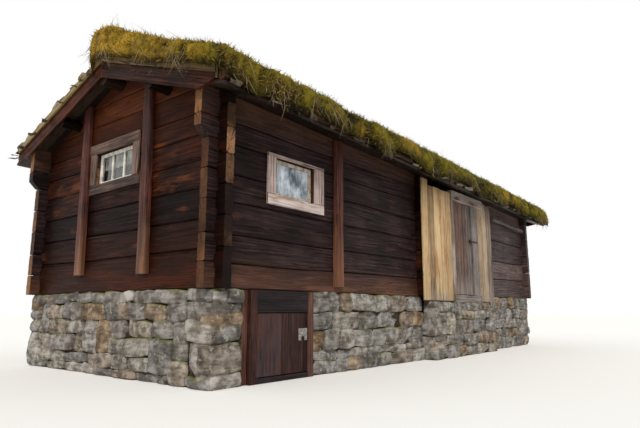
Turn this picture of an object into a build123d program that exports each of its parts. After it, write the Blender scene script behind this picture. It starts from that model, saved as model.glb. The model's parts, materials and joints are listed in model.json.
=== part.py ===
"""Log cabin of two notched log blocks with a board-clad passage between them, a turf roof and a stone base.

Sizes are in millimetres. While the pieces are made, X runs along the front wall to the right from the
outer corner of the near gable, Y runs into the building from the front wall's outer face, and Z runs up
from the underside of the sill logs. At the end everything moves together, so that the origin is the
middle of the whole outline at the foot of the stones.
"""

import os
from math import cos, radians, sin, tan

from build123d import *

# Clearances
SEAT = 0.3  # between pieces that rest on each other
SEAM = 0.5  # between two logs laid on each other
NOTCH_FIT = 0.5  # round the neck of a notched log
LEAF_GAP = 8  # round a door leaf
HEEL_GAP = 12  # beside the round heel that a leaf turns on
PIN_FIT = 0.3  # round a leaf's pivot pin

# Plan of the log blocks
WIDTH = 4060  # over the outer faces of the two long walls
MAIN_L = 4350  # main room, over its cross walls
PASSAGE_L = 2600  # between the two log blocks
FAR_L = 2520  # far room, over its cross walls

# Logs
LOG_T = 120
LOG_END = 135  # how far a log runs on past the wall it crosses
ARRIS = 16  # the hewn-off edges
CORBEL = 110  # further reach of the upper front and back logs at the near gable
CORBEL_LOGS = 2
CORBEL_RISE = 110  # height of the slanting cut under the lower one's end
RISES = (275, 302, 350, 326, 317, 253)  # heights of the long walls' logs under the top one
FAR_SILL = 50  # the far room stands this much higher
FAR_RISES = (390, 380, 430, 400)
GABLE_RISE = 300  # gable logs above the long walls

# Stone base
BASE_H = 1000
BASE_T = 400
BASE_OUT = 20  # how far it stands out past the logs
STEP_DROP = 80  # the base under the passage fronts is lower by this
STEP_OUT = 230  # and stands out by this

# Floors
FLOOR_T = 45

# Roof
EAVE_Z = 2135  # underside of the deck over the long wall's outer face, at the near gable
PITCH = 19.6  # degrees
FALL = 1.1  # degrees, down towards the far gable
DECK_T = 40
EAVE_OUT = 400
VERGE_NEAR = 310  # out to the barge board's outer face
VERGE_FAR = 520
RIDGE_R = 95
PURLIN_R = 75
PURLIN_Y = 960  # from each long wall's outer face

# Barge boards
BARGE_T = 35
BARGE_H = 278
BARGE_DROP = 95  # below the deck's underside
BARGE_END = 290  # out past the long wall's face
BARGE_TIP = 140  # height of its end, where its lower edge is cut back to the wall's face
BARGE_CAP_H = 85
BARGE_CAP_T = 30

# Turf
EAVE_LOG_R = 55
TURF_SHOULDER = 335  # heights over the deck: at the eave, half way up and at the ridge
TURF_MIDDLE = 420
TURF_RIDGE = 520
TURF_OVER = 85  # how far the turf bulges out over barge boards and eave logs
TURF_BEND = 200  # radius that its edge at the eave is rounded to
TURF_ROUND = 130  # and radius of its edge over the barge boards
CROWN_TOP = 300  # the turf is nearly level this far down from the ridge
CROWN_SWELL = 20  # and this much deeper there

# Windows: the clear opening through the logs, and what closes it
FRONT_WIN_X = 875
FRONT_WIN_W = 710
FRONT_WIN_Z = 1115
FRONT_WIN_H = 455
GABLE_WIN_Y = 1620
GABLE_WIN_W = 890
GABLE_WIN_Z = 1440
GABLE_WIN_H = 430
CASING_T = 30
FRONT_CASING = (145, 185, 125, 40)  # left, right, bottom and top boards
GABLE_CASING = (130, 130, 130, 140)
GABLE_CASING_EAR = 40  # its bottom board runs past at one end and its top board at the other
SASH_T = 40
SASH_W = 45
SASH_DEEP = 45  # from the log face back to the sash
GABLE_BARS = 2
BAR_W = 24
GLASS_T = 4
SASH_FIT = 0.3

# Braces against the walls
FRONT_BRACE_X = 2080
FRONT_BRACE_W = 180
FRONT_BRACE_Z = 70
GABLE_BRACE_W = 180  # at the foot
GABLE_BRACE_HEAD = 150
GABLE_BRACE_T = 75
GABLE_BRACES = ((1240, 1315, 190), (2722, 2789, 230))  # Y at the foot, Y at the head, Z of the foot

# Board-clad passage
BOARD_T = 25
BOARD_SLIT = 3
BOARD_LAP = 175  # of the first board, over the main cross wall's log ends and past them
LEFT_BOARDS = (222, 204, 226, 202, 221)
LEFT_BOARD_TOPS = (1960, 1868, 1876, 1866, 1872)
RIGHT_BOARDS = (240, 205)
RIGHT_BOARD_W = 240  # about the width of those beyond, which reach over the far room's log ends
RIGHT_BOARD_LAP = 145
RIGHT_BOARD_TOPS = (1895, 1880)  # of those beside the lintel, and the last goes on
BACK_BOARDS = 13
BOARD_FOOT = 60  # below the sill's underside
BACK_BOARD_TOP = 1850
RAIL_T = 100
RAIL_H = 120

# Passage door
JAMB_W = 115
RIGHT_JAMB_W = 310
JAMB_OUT = 5  # in front of the boards
LINTEL_H = 175
LINTEL_T = 115
LINTEL_OUT = 30
LINTEL_BEVEL = 25
THRESHOLD_TOP = 50
DOOR_PLANKS = (192, 180, 156, 184)
DOOR_RECESSES = (0, 2, 1, 3)
DOOR_H = 1682
LEAF_T = 30
DOOR_DEEP = 10  # from the boards' face back to the leaf
LEDGE_H = 110
LEDGE_T = 22
PIN_R = 9
PIN_L = 30
LATCH_Z = 1065
LATCH_L = 310
LATCH_H = 26
LATCH_T = 6
LATCH_FOOT = 50  # the part that stands on the leaf

# Cellar door
CELLAR_X = 600
CELLAR_POST = 95
CELLAR_POST_T = 120
CELLAR_FILLET = 100  # dark board that closes the slit beside the left post
CELLAR_LINTEL_H = 245
CELLAR_LINTEL_T = 60
CELLAR_SILL_H = 60
CELLAR_PLANKS = (390, 278, 177)
CELLAR_RECESSES = (0, 0, 10)
CELLAR_OUT = 25  # front of the posts, out past the logs
CELLAR_DEEP = 3  # from the posts' front back to the leaf
HASP_Z = -500
HASP_W = 150
HASP_H = 140
HASP_PLATE_W = 44
HASP_T = 7

# Doorways between the rooms
INNER_Y = 1650
INNER_W = 760
INNER_H = 1560  # at least: whole logs end at the doorway's head

# Round pole under the far room's eave
POLE_R = 50
POLE_START = 490  # from the far room's cross wall
POLE_Z = 1670
POLE_FALL = 1.85  # degrees

X_FAR = MAIN_L + PASSAGE_L
X_END = X_FAR + FAR_L
SLOPE = tan(radians(PITCH))
RIDGE_Y = WIDTH / 2
FAR_AWAY = 20000


def block(x0, x1, y0, y1, z0, z1):
    """A box between two corners."""
    return Pos((x0 + x1) / 2, (y0 + y1) / 2, (z0 + z1) / 2) * Box(x1 - x0, y1 - y0, z1 - z0)


def along_x(outline, x0, x1):
    """An outline given as (y, z) points, carried along X."""
    face = make_face(Polyline(*[(x0, y, z) for y, z in outline], close=True))
    return extrude(face, amount=x1 - x0, dir=(1, 0, 0))


def along_y(outline, y0, y1):
    """An outline given as (x, z) points, carried along Y."""
    face = make_face(Polyline(*[(x, y0, z) for x, z in outline], close=True))
    return extrude(face, amount=y1 - y0, dir=(0, 1, 0))


def mirrored(shape):
    """The same piece on the other long side."""
    return mirror(shape, about=Plane.XZ.offset(-RIDGE_Y))


def under(y):
    """Height of the deck's underside, before the roof's fall."""
    return EAVE_Z + SLOPE * min(y, WIDTH - y)


def eave_at(x):
    """Height of the deck's underside over the long wall's outer face at this X."""
    return EAVE_Z - x * tan(radians(FALL))


def fallen(shape):
    """Tips a roof piece so that it falls towards the far gable."""
    return Pos(0, 0, EAVE_Z) * Rot(0, FALL, 0) * Pos(0, 0, -EAVE_Z) * shape


def under_roof_space():
    """All that lies under the deck, a seat's clearance below it."""
    y0, y1 = -2 * EAVE_OUT, WIDTH + 2 * EAVE_OUT
    low = -2 * BASE_H
    outline = [(y0, low), (y1, low), (y1, under(y1) - SEAT), (RIDGE_Y, under(RIDGE_Y) - SEAT), (y0, under(y0) - SEAT)]
    return fallen(along_x(outline, -3 * VERGE_NEAR, X_END + 3 * VERGE_FAR))


UNDER_ROOF = under_roof_space()


def purlin(y, radius, extra=0):
    """A round purlin that the deck lies on, or the hole for it where extra is given."""
    drop = radius / cos(radians(PITCH)) + SEAT
    x0, x1 = BARGE_T + SEAT - VERGE_NEAR, X_END + VERGE_FAR - BARGE_T - SEAT
    rod = Pos((x0 + x1) / 2, y, under(y) - drop) * Rot(0, 90, 0) * Cylinder(radius + extra, x1 - x0 + 4 * extra)
    return fallen(rod)


def purlins(extra=0):
    return [
        purlin(RIDGE_Y, RIDGE_R, extra),
        purlin(PURLIN_Y, PURLIN_R, extra),
        purlin(WIDTH - PURLIN_Y, PURLIN_R, extra),
    ]


PURLIN_HOLES = purlins(SEAT)


def levels(rises, sill, eave):
    """Joint heights of a long wall, from its sill to the eave, and the middles between them."""
    joints = [sill]
    for rise in rises:
        joints.append(joints[-1] + rise)
    joints.append(eave)
    middles = [(low + high) / 2 for low, high in zip(joints, joints[1:])]
    return joints, middles


def log(start, end, z0, z1, necks=()):
    """A hewn log along X whose outer face is at Y 0, thinned to its neck where it crosses a wall.

    Each neck is the crossed wall's near face, and the neck's underside and top, or None where the log
    keeps its own.
    """
    z0, z1 = z0 + SEAM / 2, z1 - SEAM / 2
    flat, side = LOG_T - ARRIS, z1 - ARRIS
    outline = [(ARRIS, z0), (flat, z0), (LOG_T, z0 + ARRIS), (LOG_T, side), (flat, z1), (ARRIS, z1), (0, side)]
    body = along_x(outline + [(0, z0 + ARRIS)], start, end)
    half = NOTCH_FIT / 2
    for at, low, high in necks:
        x0, x1 = at - half, at + LOG_T + half
        if low is not None:
            body -= block(x0, x1, -LOG_T, 2 * LOG_T, z0 - LOG_T, low + half)
        if high is not None:
            body -= block(x0, x1, -LOG_T, 2 * LOG_T, high - half, z1 + LOG_T)
    return body


def turned(shape, x_face):
    """Turns a log made along X so that it runs along Y with its outer face at this X."""
    return Pos(x_face + LOG_T, 0, 0) * Rot(0, 0, 90) * shape


def roofed(shapes):
    """Cuts logs off under the roof and round its purlins."""
    lowest = eave_at(X_END) - SLOPE * LOG_END - SEAM
    cut = []
    for shape in shapes:
        if shape.bounding_box().max.Z > lowest:
            shape = shape & UNDER_ROOF
            for hole in PURLIN_HOLES:
                shape = shape - hole
        cut += shape.solids()
    return cut


def long_wall(rises, sill, x0, x1, corbel=0):
    """The logs of a front wall between two cross walls' outer faces, notched over both."""
    near_joints, near_middles = levels(rises, sill, eave_at(x0))
    far_joints, far_middles = levels(rises, sill, eave_at(x1 - LOG_T))
    last = len(rises)
    logs = []
    for k in range(last + 1):
        necks = []
        for at, joints, middles in ((x0, near_joints, near_middles), (x1 - LOG_T, far_joints, far_middles)):
            low = None if k == 0 else (joints[k] + middles[k]) / 2
            necks.append((at, low, (middles[k] + joints[k + 1]) / 2))
        top = near_joints[k + 1] if k < last else EAVE_Z + 2 * LOG_T * SLOPE
        reach = corbel if k > last - CORBEL_LOGS else 0
        piece = log(x0 - LOG_END - reach, x1 + LOG_END, near_joints[k], top, necks)
        if reach and k == last - CORBEL_LOGS + 1:
            tip, foot = x0 - LOG_END - reach, near_joints[k]
            wedge = [(x0 - LOG_END, foot), (tip, foot + CORBEL_RISE), (tip - LOG_T, foot + CORBEL_RISE)]
            wedge += [(tip - LOG_T, foot - LOG_T), (x0 - LOG_END, foot - LOG_T)]
            piece -= along_y(wedge, -LOG_T, 2 * LOG_T)
        logs.append(piece)
    return roofed(logs)


def cross_wall(rises, sill, x_face):
    """The logs of a gable or cross wall, notched over both long walls and carried up to the roof."""
    joints, middles = levels(rises, sill, eave_at(x_face))
    last = len(rises)
    logs = []
    low = sill
    for j in range(last + 1):
        top = middles[j + 1] if j < last else middles[j] + GABLE_RISE
        neck_low = (middles[j] + joints[j + 1]) / 2
        neck_top = (joints[j + 1] + middles[j + 1]) / 2 if j < last else None
        necks = [(face, neck_low, neck_top) for face in (0, WIDTH - LOG_T)]
        logs.append(turned(log(-LOG_END, WIDTH + LOG_END, low, top, necks), x_face))
        low = top
    left = eave_at(x_face) + SLOPE * RIDGE_Y - low
    count = max(1, round(left / GABLE_RISE))
    for j in range(count):
        logs.append(turned(log(-LOG_END, WIDTH + LOG_END, low, low + left / count), x_face))
        low += left / count
    return roofed(logs)


def opened(shapes, hole):
    """Cuts an opening through a wall's logs."""
    cut = []
    for shape in shapes:
        cut += (shape - hole).solids()
    return cut


# Log walls
front_hole = block(FRONT_WIN_X, FRONT_WIN_X + FRONT_WIN_W, -LOG_T, 2 * LOG_T, FRONT_WIN_Z, FRONT_WIN_Z + FRONT_WIN_H)
gable_hole = block(-LOG_T, 2 * LOG_T, GABLE_WIN_Y, GABLE_WIN_Y + GABLE_WIN_W, GABLE_WIN_Z, GABLE_WIN_Z + GABLE_WIN_H)
main_front = long_wall(RISES, 0, 0, MAIN_L, CORBEL)
far_front = long_wall(FAR_RISES, FAR_SILL, X_FAR, X_END)
main_cross = cross_wall(RISES, 0, MAIN_L - LOG_T)
far_cross = cross_wall(FAR_RISES, FAR_SILL, X_FAR)


def with_doorway(shapes, rises, sill, x_face):
    """Cuts a doorway down through the sill log, up to the first joint that is high enough, and lays a threshold."""
    middles = levels(rises, sill, eave_at(x_face))[1]
    floor = sill + FLOOR_T
    top = min((z for z in middles[1:] if z >= floor + INNER_H), default=floor + INNER_H)
    y0, y1 = INNER_Y, INNER_Y + INNER_W
    hole = block(x_face - LOG_T, x_face + 2 * LOG_T, y0, y1, sill - LOG_T, top)
    threshold = block(x_face, x_face + LOG_T, y0 + SEAT, y1 - SEAT, sill + SEAT, floor)
    return opened(shapes, hole) + [threshold]


main_cross = with_doorway(main_cross, RISES, 0, MAIN_L - LOG_T)
far_cross = with_doorway(far_cross, FAR_RISES, FAR_SILL, X_FAR)

front_wall = opened(main_front, front_hole)
near_gable_wall = opened(cross_wall(RISES, 0, 0), gable_hole)
back_wall = [mirrored(piece) for piece in main_front + far_front]
far_gable_wall = cross_wall(FAR_RISES, FAR_SILL, X_END - LOG_T)

# Stone base: rings of wall under both blocks, with lower steps under the passage's fronts
y_in, y_back = BASE_T - BASE_OUT, WIDTH - BASE_T + BASE_OUT
x_in = BASE_T - BASE_OUT
pier_end = CELLAR_X - CELLAR_POST - SEAT - CELLAR_FILLET - SEAT
cellar_leaf_x = CELLAR_X + HEEL_GAP
cellar_right = cellar_leaf_x + sum(CELLAR_PLANKS) + LEAF_GAP
x_step0, x_step1 = MAIN_L + BASE_OUT, X_FAR - BASE_OUT


def base(x0, x1, y0, y1, top=0.0):
    return block(x0, x1, y0, y1, -BASE_H, top)


base_near_gable = [
    base(-BASE_OUT, x_in, -BASE_OUT, WIDTH + BASE_OUT),
    base(x_in + SEAT, pier_end, -BASE_OUT, y_in),
]
base_front = [base(cellar_right + CELLAR_POST + SEAT, x_step0, -BASE_OUT, y_in)]
base_back = [
    base(x_in + SEAT, x_step0, y_back, WIDTH + BASE_OUT),
    base(x_step1, X_END + BASE_OUT, y_back, WIDTH + BASE_OUT, FAR_SILL),
]
base_cross_walls = [
    base(x_step0 - BASE_T, x_step0, y_in + SEAT, y_back - SEAT),
    base(x_step1, x_step1 + BASE_T, y_in + SEAT, y_back - SEAT, FAR_SILL),
]
passage_step = base(x_step0 + SEAT, x_step1 - SEAT, 0, y_in) + base(
    x_step0 + SEAT, x_step1 - SEAT, -STEP_OUT, 0, -STEP_DROP
)
base_passage = [passage_step, mirrored(passage_step)]
base_far_front = [base(x_step1, X_END + BASE_OUT, -BASE_OUT, y_in, FAR_SILL)]
base_far_gable = [base(X_END + BASE_OUT - BASE_T, X_END + BASE_OUT, y_in + SEAT, y_back - SEAT, FAR_SILL)]

# Floors
inside = LOG_T + SEAT


def room_floor(x0, x1, z):
    return block(x0, x1, inside, WIDTH - inside, z + SEAT, z + FLOOR_T)


rail_back = -LOG_END + RAIL_T
passage_floor = room_floor(MAIN_L + SEAT, x_step1 - SEAT, 0) + block(
    MAIN_L + LOG_END + SEAT, X_FAR - LOG_END - SEAT, rail_back + SEAT, WIDTH - rail_back - SEAT, SEAT, FLOOR_T
)
floors = [
    room_floor(inside, MAIN_L - inside, 0),
    passage_floor,
    room_floor(X_FAR + inside, X_END - inside, FAR_SILL),
]


# Windows: across is X on the front wall and Y on the gable, deep runs inwards from the log face
def on_front(a0, a1, d0, d1, z0, z1):
    return block(a0, a1, d0, d1, z0, z1)


def on_gable(a0, a1, d0, d1, z0, z1):
    return block(d0, d1, a0, a1, z0, z1)


def casing(place, low, high, z0, z1, boards, ear):
    """Four flat boards on the logs round an opening; the ear lengthens the bottom and top ones at one end each."""
    left, right, bottom, top = boards
    faces = -CASING_T - SEAT, -SEAT
    return [
        place(low - left, low, *faces, z0 + SEAT, z1 - SEAT),
        place(high, high + right, *faces, z0 + SEAT, z1 - SEAT),
        place(low - left - ear, high + right, *faces, z0 - bottom, z0),
        place(low - left, high + right + ear, *faces, z1, z1 + top),
    ]


def window(place, low, high, z0, z1, bars=0):
    """A sash in the opening, with upright bars, and its pane let into a groove."""
    low, high, z0, z1 = low + SASH_FIT, high - SASH_FIT, z0 + SASH_FIT, z1 - SASH_FIT
    faces = SASH_DEEP, SASH_DEEP + SASH_T
    sash = place(low, high, *faces, z0, z1)
    gap = (high - low - 2 * SASH_W - bars * BAR_W) / (bars + 1)
    for i in range(bars + 1):
        at = low + SASH_W + i * (gap + BAR_W)
        sash -= place(at, at + gap, *faces, z0 + SASH_W, z1 - SASH_W)
    lap = SASH_W / 3
    deep = SASH_DEEP + SASH_T / 2
    a0, a1 = low + SASH_W - lap, high - SASH_W + lap
    b0, b1 = z0 + SASH_W - lap, z1 - SASH_W + lap
    pane = place(a0, a1, deep, deep + GLASS_T, b0, b1)
    groove = place(a0 - SEAT, a1 + SEAT, deep - SEAT, deep + GLASS_T + SEAT, b0 - SEAT, b1 + SEAT)
    return [sash - groove], [pane]


front_win = FRONT_WIN_X, FRONT_WIN_X + FRONT_WIN_W, FRONT_WIN_Z, FRONT_WIN_Z + FRONT_WIN_H
gable_win = GABLE_WIN_Y, GABLE_WIN_Y + GABLE_WIN_W, GABLE_WIN_Z, GABLE_WIN_Z + GABLE_WIN_H
front_casing = casing(on_front, *front_win, FRONT_CASING, 0)
gable_casing = casing(on_gable, *gable_win, GABLE_CASING, GABLE_CASING_EAR)
front_sash, front_glass = window(on_front, *front_win)
gable_sash, gable_glass = window(on_gable, *gable_win, GABLE_BARS)

# Braces: a half-round pole on the front wall, two hewn and leaning posts on the gable
half_round = Circle(FRONT_BRACE_W / 2) & Pos(0, -FRONT_BRACE_W / 2) * Rectangle(FRONT_BRACE_W, FRONT_BRACE_W)
front_pole = extrude(Pos(FRONT_BRACE_X, -SEAT) * half_round, amount=2 * EAVE_Z)
front_brace = roofed([Pos(0, 0, FRONT_BRACE_Z) * front_pole])


def gable_brace(foot_y, head_y, foot):
    """A squared and tapering post with its outer edges hewn off."""
    head = under(head_y) + GABLE_BRACE_W
    half, slim = GABLE_BRACE_W / 2, GABLE_BRACE_HEAD / 2
    side = [(foot_y - half, foot), (foot_y + half, foot), (head_y + slim, head), (head_y - slim, head)]
    post = along_x(side, -GABLE_BRACE_T - SEAT, -SEAT)
    upright = post.edges().filter_by(lambda e: abs(e.tangent_at(0.5).Z) > 0.9)
    return chamfer(upright.sort_by(Axis.X)[:2], GABLE_BRACE_T / 4)


gable_braces = roofed([gable_brace(*brace) for brace in GABLE_BRACES])

# Passage fronts: rails between the log ends, and boards on them
board_back = -LOG_END - SEAT
board_face = board_back - BOARD_T
left_x = MAIN_L - BOARD_LAP
jamb_x = left_x + sum(LEFT_BOARDS)
leaf_x = jamb_x + JAMB_W + HEEL_GAP
right_jamb_x = leaf_x + sum(DOOR_PLANKS) + LEAF_GAP
frame_end = right_jamb_x + RIGHT_JAMB_W
right_x = frame_end + BOARD_SLIT
leaf_z = THRESHOLD_TOP + LEAF_GAP
lintel_z = leaf_z + DOOR_H + LEAF_GAP
back_board_w = (X_FAR + LOG_T - left_x) / BACK_BOARDS


def clad(widths, tops, x):
    """Upright boards side by side from this X, cut off under the roof."""
    boards = []
    for width, top in zip(widths, tops):
        boards.append(block(x, x + width - BOARD_SLIT, board_face, board_back, -BOARD_FOOT, top))
        x += width
    return roofed(boards)


def rail(x0, x1, z):
    return block(x0, x1, -LOG_END, -LOG_END + RAIL_T, z, z + RAIL_H)


boards_left = clad(LEFT_BOARDS, LEFT_BOARD_TOPS, left_x)
right_span = X_FAR + RIGHT_BOARD_LAP - right_x
right_ends = [sum(RIGHT_BOARDS[: i + 1]) + RIGHT_BOARD_W / 2 for i in range(len(RIGHT_BOARDS))]
right_widths = [width for width, end in zip(RIGHT_BOARDS, right_ends) if end < right_span]
right_left = right_span - sum(right_widths)
more = max(1, round(right_left / RIGHT_BOARD_W))
right_widths += [right_left / more] * more
right_tops = lintel_z - SEAT, RIGHT_BOARD_TOPS[0], *[RIGHT_BOARD_TOPS[1]] * more
boards_right = clad(right_widths, right_tops, right_x)
back_boards = [mirrored(board) for board in clad([back_board_w] * BACK_BOARDS, [BACK_BOARD_TOP] * BACK_BOARDS, left_x)]
rails = []
for rail_z in (SEAT - STEP_DROP, lintel_z - SEAT - RAIL_H):
    rails.append(rail(MAIN_L + SEAT, jamb_x - SEAT, rail_z))
    rails.append(rail(frame_end + SEAT, X_FAR - SEAT, rail_z))
    rails.append(mirrored(rail(MAIN_L + SEAT, X_FAR - SEAT, rail_z)))

# Door leaves turn on wooden pins at the head and foot of their heel
pin_reach = LEAF_GAP + PIN_L


def pin_hole(x, y, z):
    """The socket for a pivot pin, half of it above and half below the face that it is sunk in."""
    return Pos(x, y, z) * Cylinder(PIN_R + PIN_FIT, 2 * (PIN_L + SEAT))


def leaf(x, y, z0, z1, widths, recesses):
    """Upright planks on two ledges; the first plank's heel is round and ends in two pins."""
    heel_x, front, back = x + LEAF_T / 2, y - LEAF_T / 2, y + LEAF_T / 2
    middle = Pos(heel_x, y, (z0 + z1) / 2)
    planks = [
        block(heel_x, x + widths[0] - BOARD_SLIT, front, back, z0, z1)
        + middle * Cylinder(LEAF_T / 2, z1 - z0)
        + middle * Cylinder(PIN_R, z1 - z0 + 2 * pin_reach)
    ]
    for width, before, recess in zip(widths[1:], (sum(widths[: i + 1]) for i in range(len(widths))), recesses):
        planks.append(block(x + before, x + before + width - BOARD_SLIT, front + recess, back, z0, z1))
    end = x + sum(widths)
    ledges = [
        block(heel_x + LEDGE_H, end - LEDGE_H, back + SEAT, back + SEAT + LEDGE_T, z, z + LEDGE_H)
        for z in (z0 + LEDGE_H, z1 - 2 * LEDGE_H)
    ]
    return planks + ledges, (heel_x, y)


# Passage door in its frame
frame_faces = board_face - JAMB_OUT, -LOG_END + RAIL_T
lintel_front = board_face - LINTEL_OUT
lintel_end = right_x + right_widths[0] - BOARD_SLIT
leaf_y = board_face + DOOR_DEEP + LEAF_T / 2
jambs = [
    block(x, x + width, *frame_faces, THRESHOLD_TOP + SEAT, lintel_z - SEAT)
    for x, width in ((jamb_x, JAMB_W), (right_jamb_x, RIGHT_JAMB_W))
]
lintel = block(jamb_x, lintel_end, lintel_front, lintel_front + LINTEL_T, lintel_z, lintel_z + LINTEL_H)
low_edge = lintel.edges().filter_by(Axis.X).sort_by(Axis.Z)[:2].sort_by(Axis.Y)[0]
lintel = roofed([chamfer(low_edge, LINTEL_BEVEL)])[0]
threshold = block(jamb_x, frame_end, lintel_front, frame_faces[1], SEAT - STEP_DROP, THRESHOLD_TOP)
door_leaf, door_axis = leaf(leaf_x, leaf_y, leaf_z, lintel_z - LEAF_GAP, DOOR_PLANKS, DOOR_RECESSES[1:])
lintel -= pin_hole(*door_axis, lintel_z)
threshold -= pin_hole(*door_axis, THRESHOLD_TOP)
door_frame = [*jambs, lintel, threshold]

# Iron latch: a bar on the leaf that reaches over the right jamb
latch_x = right_jamb_x - LATCH_L / 4
latch_back = frame_faces[0] - LEAF_GAP
latch_foot = leaf_y - LEAF_T / 2 + DOOR_RECESSES[-1] - SEAT
latch = block(latch_x, latch_x + LATCH_L, latch_back - LATCH_T, latch_back, LATCH_Z - LATCH_H / 2, LATCH_Z + LATCH_H / 2)
latch += block(latch_x, latch_x + LATCH_FOOT, latch_back - LATCH_T, latch_foot, LATCH_Z - LATCH_H, LATCH_Z + LATCH_H)

# Cellar door in its frame under the sill log
post_faces = -CELLAR_OUT, -CELLAR_OUT + CELLAR_POST_T
fillet_x = CELLAR_X - CELLAR_POST - SEAT
cellar_lintel_z = -CELLAR_LINTEL_H
cellar_sill_z = CELLAR_SILL_H - BASE_H
cellar_posts = [
    block(CELLAR_X - CELLAR_POST, CELLAR_X, *post_faces, -BASE_H, 0),
    block(cellar_right, cellar_right + CELLAR_POST, *post_faces, -BASE_H, 0),
    block(fillet_x - CELLAR_FILLET, fillet_x, CELLAR_OUT, CELLAR_OUT + BOARD_T, -BASE_H, 0),
]
cellar_lintel = block(
    CELLAR_X + SEAT, cellar_right - SEAT, post_faces[0], post_faces[0] + CELLAR_LINTEL_T, cellar_lintel_z, 0
)
cellar_sill = block(CELLAR_X + SEAT, cellar_right - SEAT, *post_faces, -BASE_H, cellar_sill_z)
cellar_leaf, cellar_axis = leaf(
    cellar_leaf_x,
    post_faces[0] + CELLAR_DEEP + LEAF_T / 2,
    cellar_sill_z + LEAF_GAP,
    cellar_lintel_z - LEAF_GAP,
    CELLAR_PLANKS,
    CELLAR_RECESSES[1:],
)
cellar_lintel -= pin_hole(*cellar_axis, cellar_lintel_z)
cellar_sill -= pin_hole(*cellar_axis, cellar_sill_z)
cellar_frame = [*cellar_posts, cellar_lintel, cellar_sill]

# Iron hasp on the cellar leaf: two upright plates joined by a bar
hasp_face = post_faces[0] + CELLAR_DEEP + CELLAR_RECESSES[-1] - SEAT
hasp_end = cellar_right - LEAF_GAP - HASP_PLATE_W / 4
hasp_x = hasp_end - HASP_W


def plate(x0, x1, half_height):
    return block(x0, x1, hasp_face - HASP_T, hasp_face, HASP_Z - half_height, HASP_Z + half_height)


hasp = (
    plate(hasp_x, hasp_x + HASP_PLATE_W, HASP_H / 2)
    + plate(hasp_end - HASP_PLATE_W, hasp_end, HASP_H / 2)
    + plate(hasp_x, hasp_end, HASP_H / 6)
)

# Round pole under the far room's eave
pole_x0, pole_x1 = X_FAR + POLE_START, X_END - LOG_T - POLE_R / 5
pole = Cylinder(POLE_R, pole_x1 - pole_x0)
pole = Pos((pole_x0 + pole_x1) / 2, -POLE_R - SEAT, POLE_Z) * Rot(0, 90 + POLE_FALL, 0) * pole

# Roof deck, its barge boards and eave logs
deck_x0, deck_x1 = BARGE_T + SEAT - VERGE_NEAR, X_END + VERGE_FAR - BARGE_T - SEAT
upright = 1 / cos(radians(PITCH))  # what a thickness square to the slope measures up and down
ridge_side = RIDGE_Y - SEAT / 2


def slope_band(y0, y1, low, high):
    """A band along the front slope between two heights over the deck's underside, square to the slope."""
    return [
        (y0, under(y0) + low * upright),
        (y1, under(y1) + low * upright),
        (y1, under(y1) + high * upright),
        (y0, under(y0) + high * upright),
    ]


deck_front = fallen(along_x(slope_band(-EAVE_OUT, ridge_side, 0, DECK_T), deck_x0, deck_x1))

barge_top = BARGE_H - BARGE_DROP
barge_outline = slope_band(-BARGE_END, ridge_side, -BARGE_DROP, barge_top)
barge_outline[0] = (-BARGE_END, barge_outline[3][1] - BARGE_TIP)
barge_outline.insert(1, (0, under(0) - BARGE_DROP * upright))
cap_outline = slope_band(-BARGE_END, ridge_side, barge_top - BARGE_CAP_H, barge_top)


def verge(face, out):
    """The two boards of a barge board and its cap, on the outside of the deck's end at this X."""
    boards = []
    for outline, near, far in ((barge_outline, 0, BARGE_T), (cap_outline, BARGE_T + SEAT, BARGE_T + SEAT + BARGE_CAP_T)):
        x0, x1 = sorted((face + out * near, face + out * far))
        board = fallen(along_x(outline, x0, x1))
        boards += [board, mirrored(board)]
    return boards


barge_near = verge(BARGE_T - VERGE_NEAR, -1)
barge_far = verge(X_END + VERGE_FAR - BARGE_T, 1)

eave_log_y = EAVE_LOG_R - EAVE_OUT
eave_log_z = under(eave_log_y) + (DECK_T + SEAT + EAVE_LOG_R) * upright
eave_log = fallen(
    Pos((deck_x0 + deck_x1) / 2, eave_log_y, eave_log_z) * Rot(0, 90, 0) * Cylinder(EAVE_LOG_R, deck_x1 - deck_x0)
)

# Turf: a bed between barge boards and eave logs, and a rounded crown that bulges out over them
crown_low = (barge_top + SEAT) * upright
bed_y = eave_log_y + EAVE_LOG_R + SEAT
nose_y = -EAVE_OUT - TURF_OVER
crown_x0 = -VERGE_NEAR - BARGE_CAP_T - TURF_OVER
crown_x1 = X_END + VERGE_FAR + BARGE_CAP_T + TURF_OVER


def over_deck(y, height):
    return (crown_x0, y, under(y) + DECK_T * upright + height)


crown_start = (crown_x0, nose_y, under(nose_y) + crown_low)
crown_end = over_deck(ridge_side, TURF_RIDGE)
crown_base = (crown_x0, ridge_side, under(ridge_side) + crown_low)
crown_top = FilletPolyline(
    crown_start,
    over_deck(nose_y, TURF_SHOULDER),
    over_deck(RIDGE_Y / 2, TURF_MIDDLE),
    over_deck(RIDGE_Y - CROWN_TOP, TURF_RIDGE + CROWN_SWELL),
    crown_end,
    radius=TURF_BEND,
)
crown_face = make_face([*crown_top.edges(), Line(crown_end, crown_base), Line(crown_base, crown_start)])
crown = extrude(crown_face, amount=crown_x1 - crown_x0, dir=(1, 0, 0))
rims = crown.edges().filter_by(lambda e: abs(e.tangent_at(0.5).X) < 0.01)
rims = rims.filter_by(lambda e: (e @ 0.5).Z > under((e @ 0.5).Y) + crown_low + 1 and (e @ 0.5).Y < ridge_side - 1)
crown = fillet(rims, TURF_ROUND)
bed = along_x(slope_band(bed_y, ridge_side, DECK_T + SEAT, barge_top + SEAT), deck_x0, deck_x1)
turf_front = fallen(crown + bed)

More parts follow.
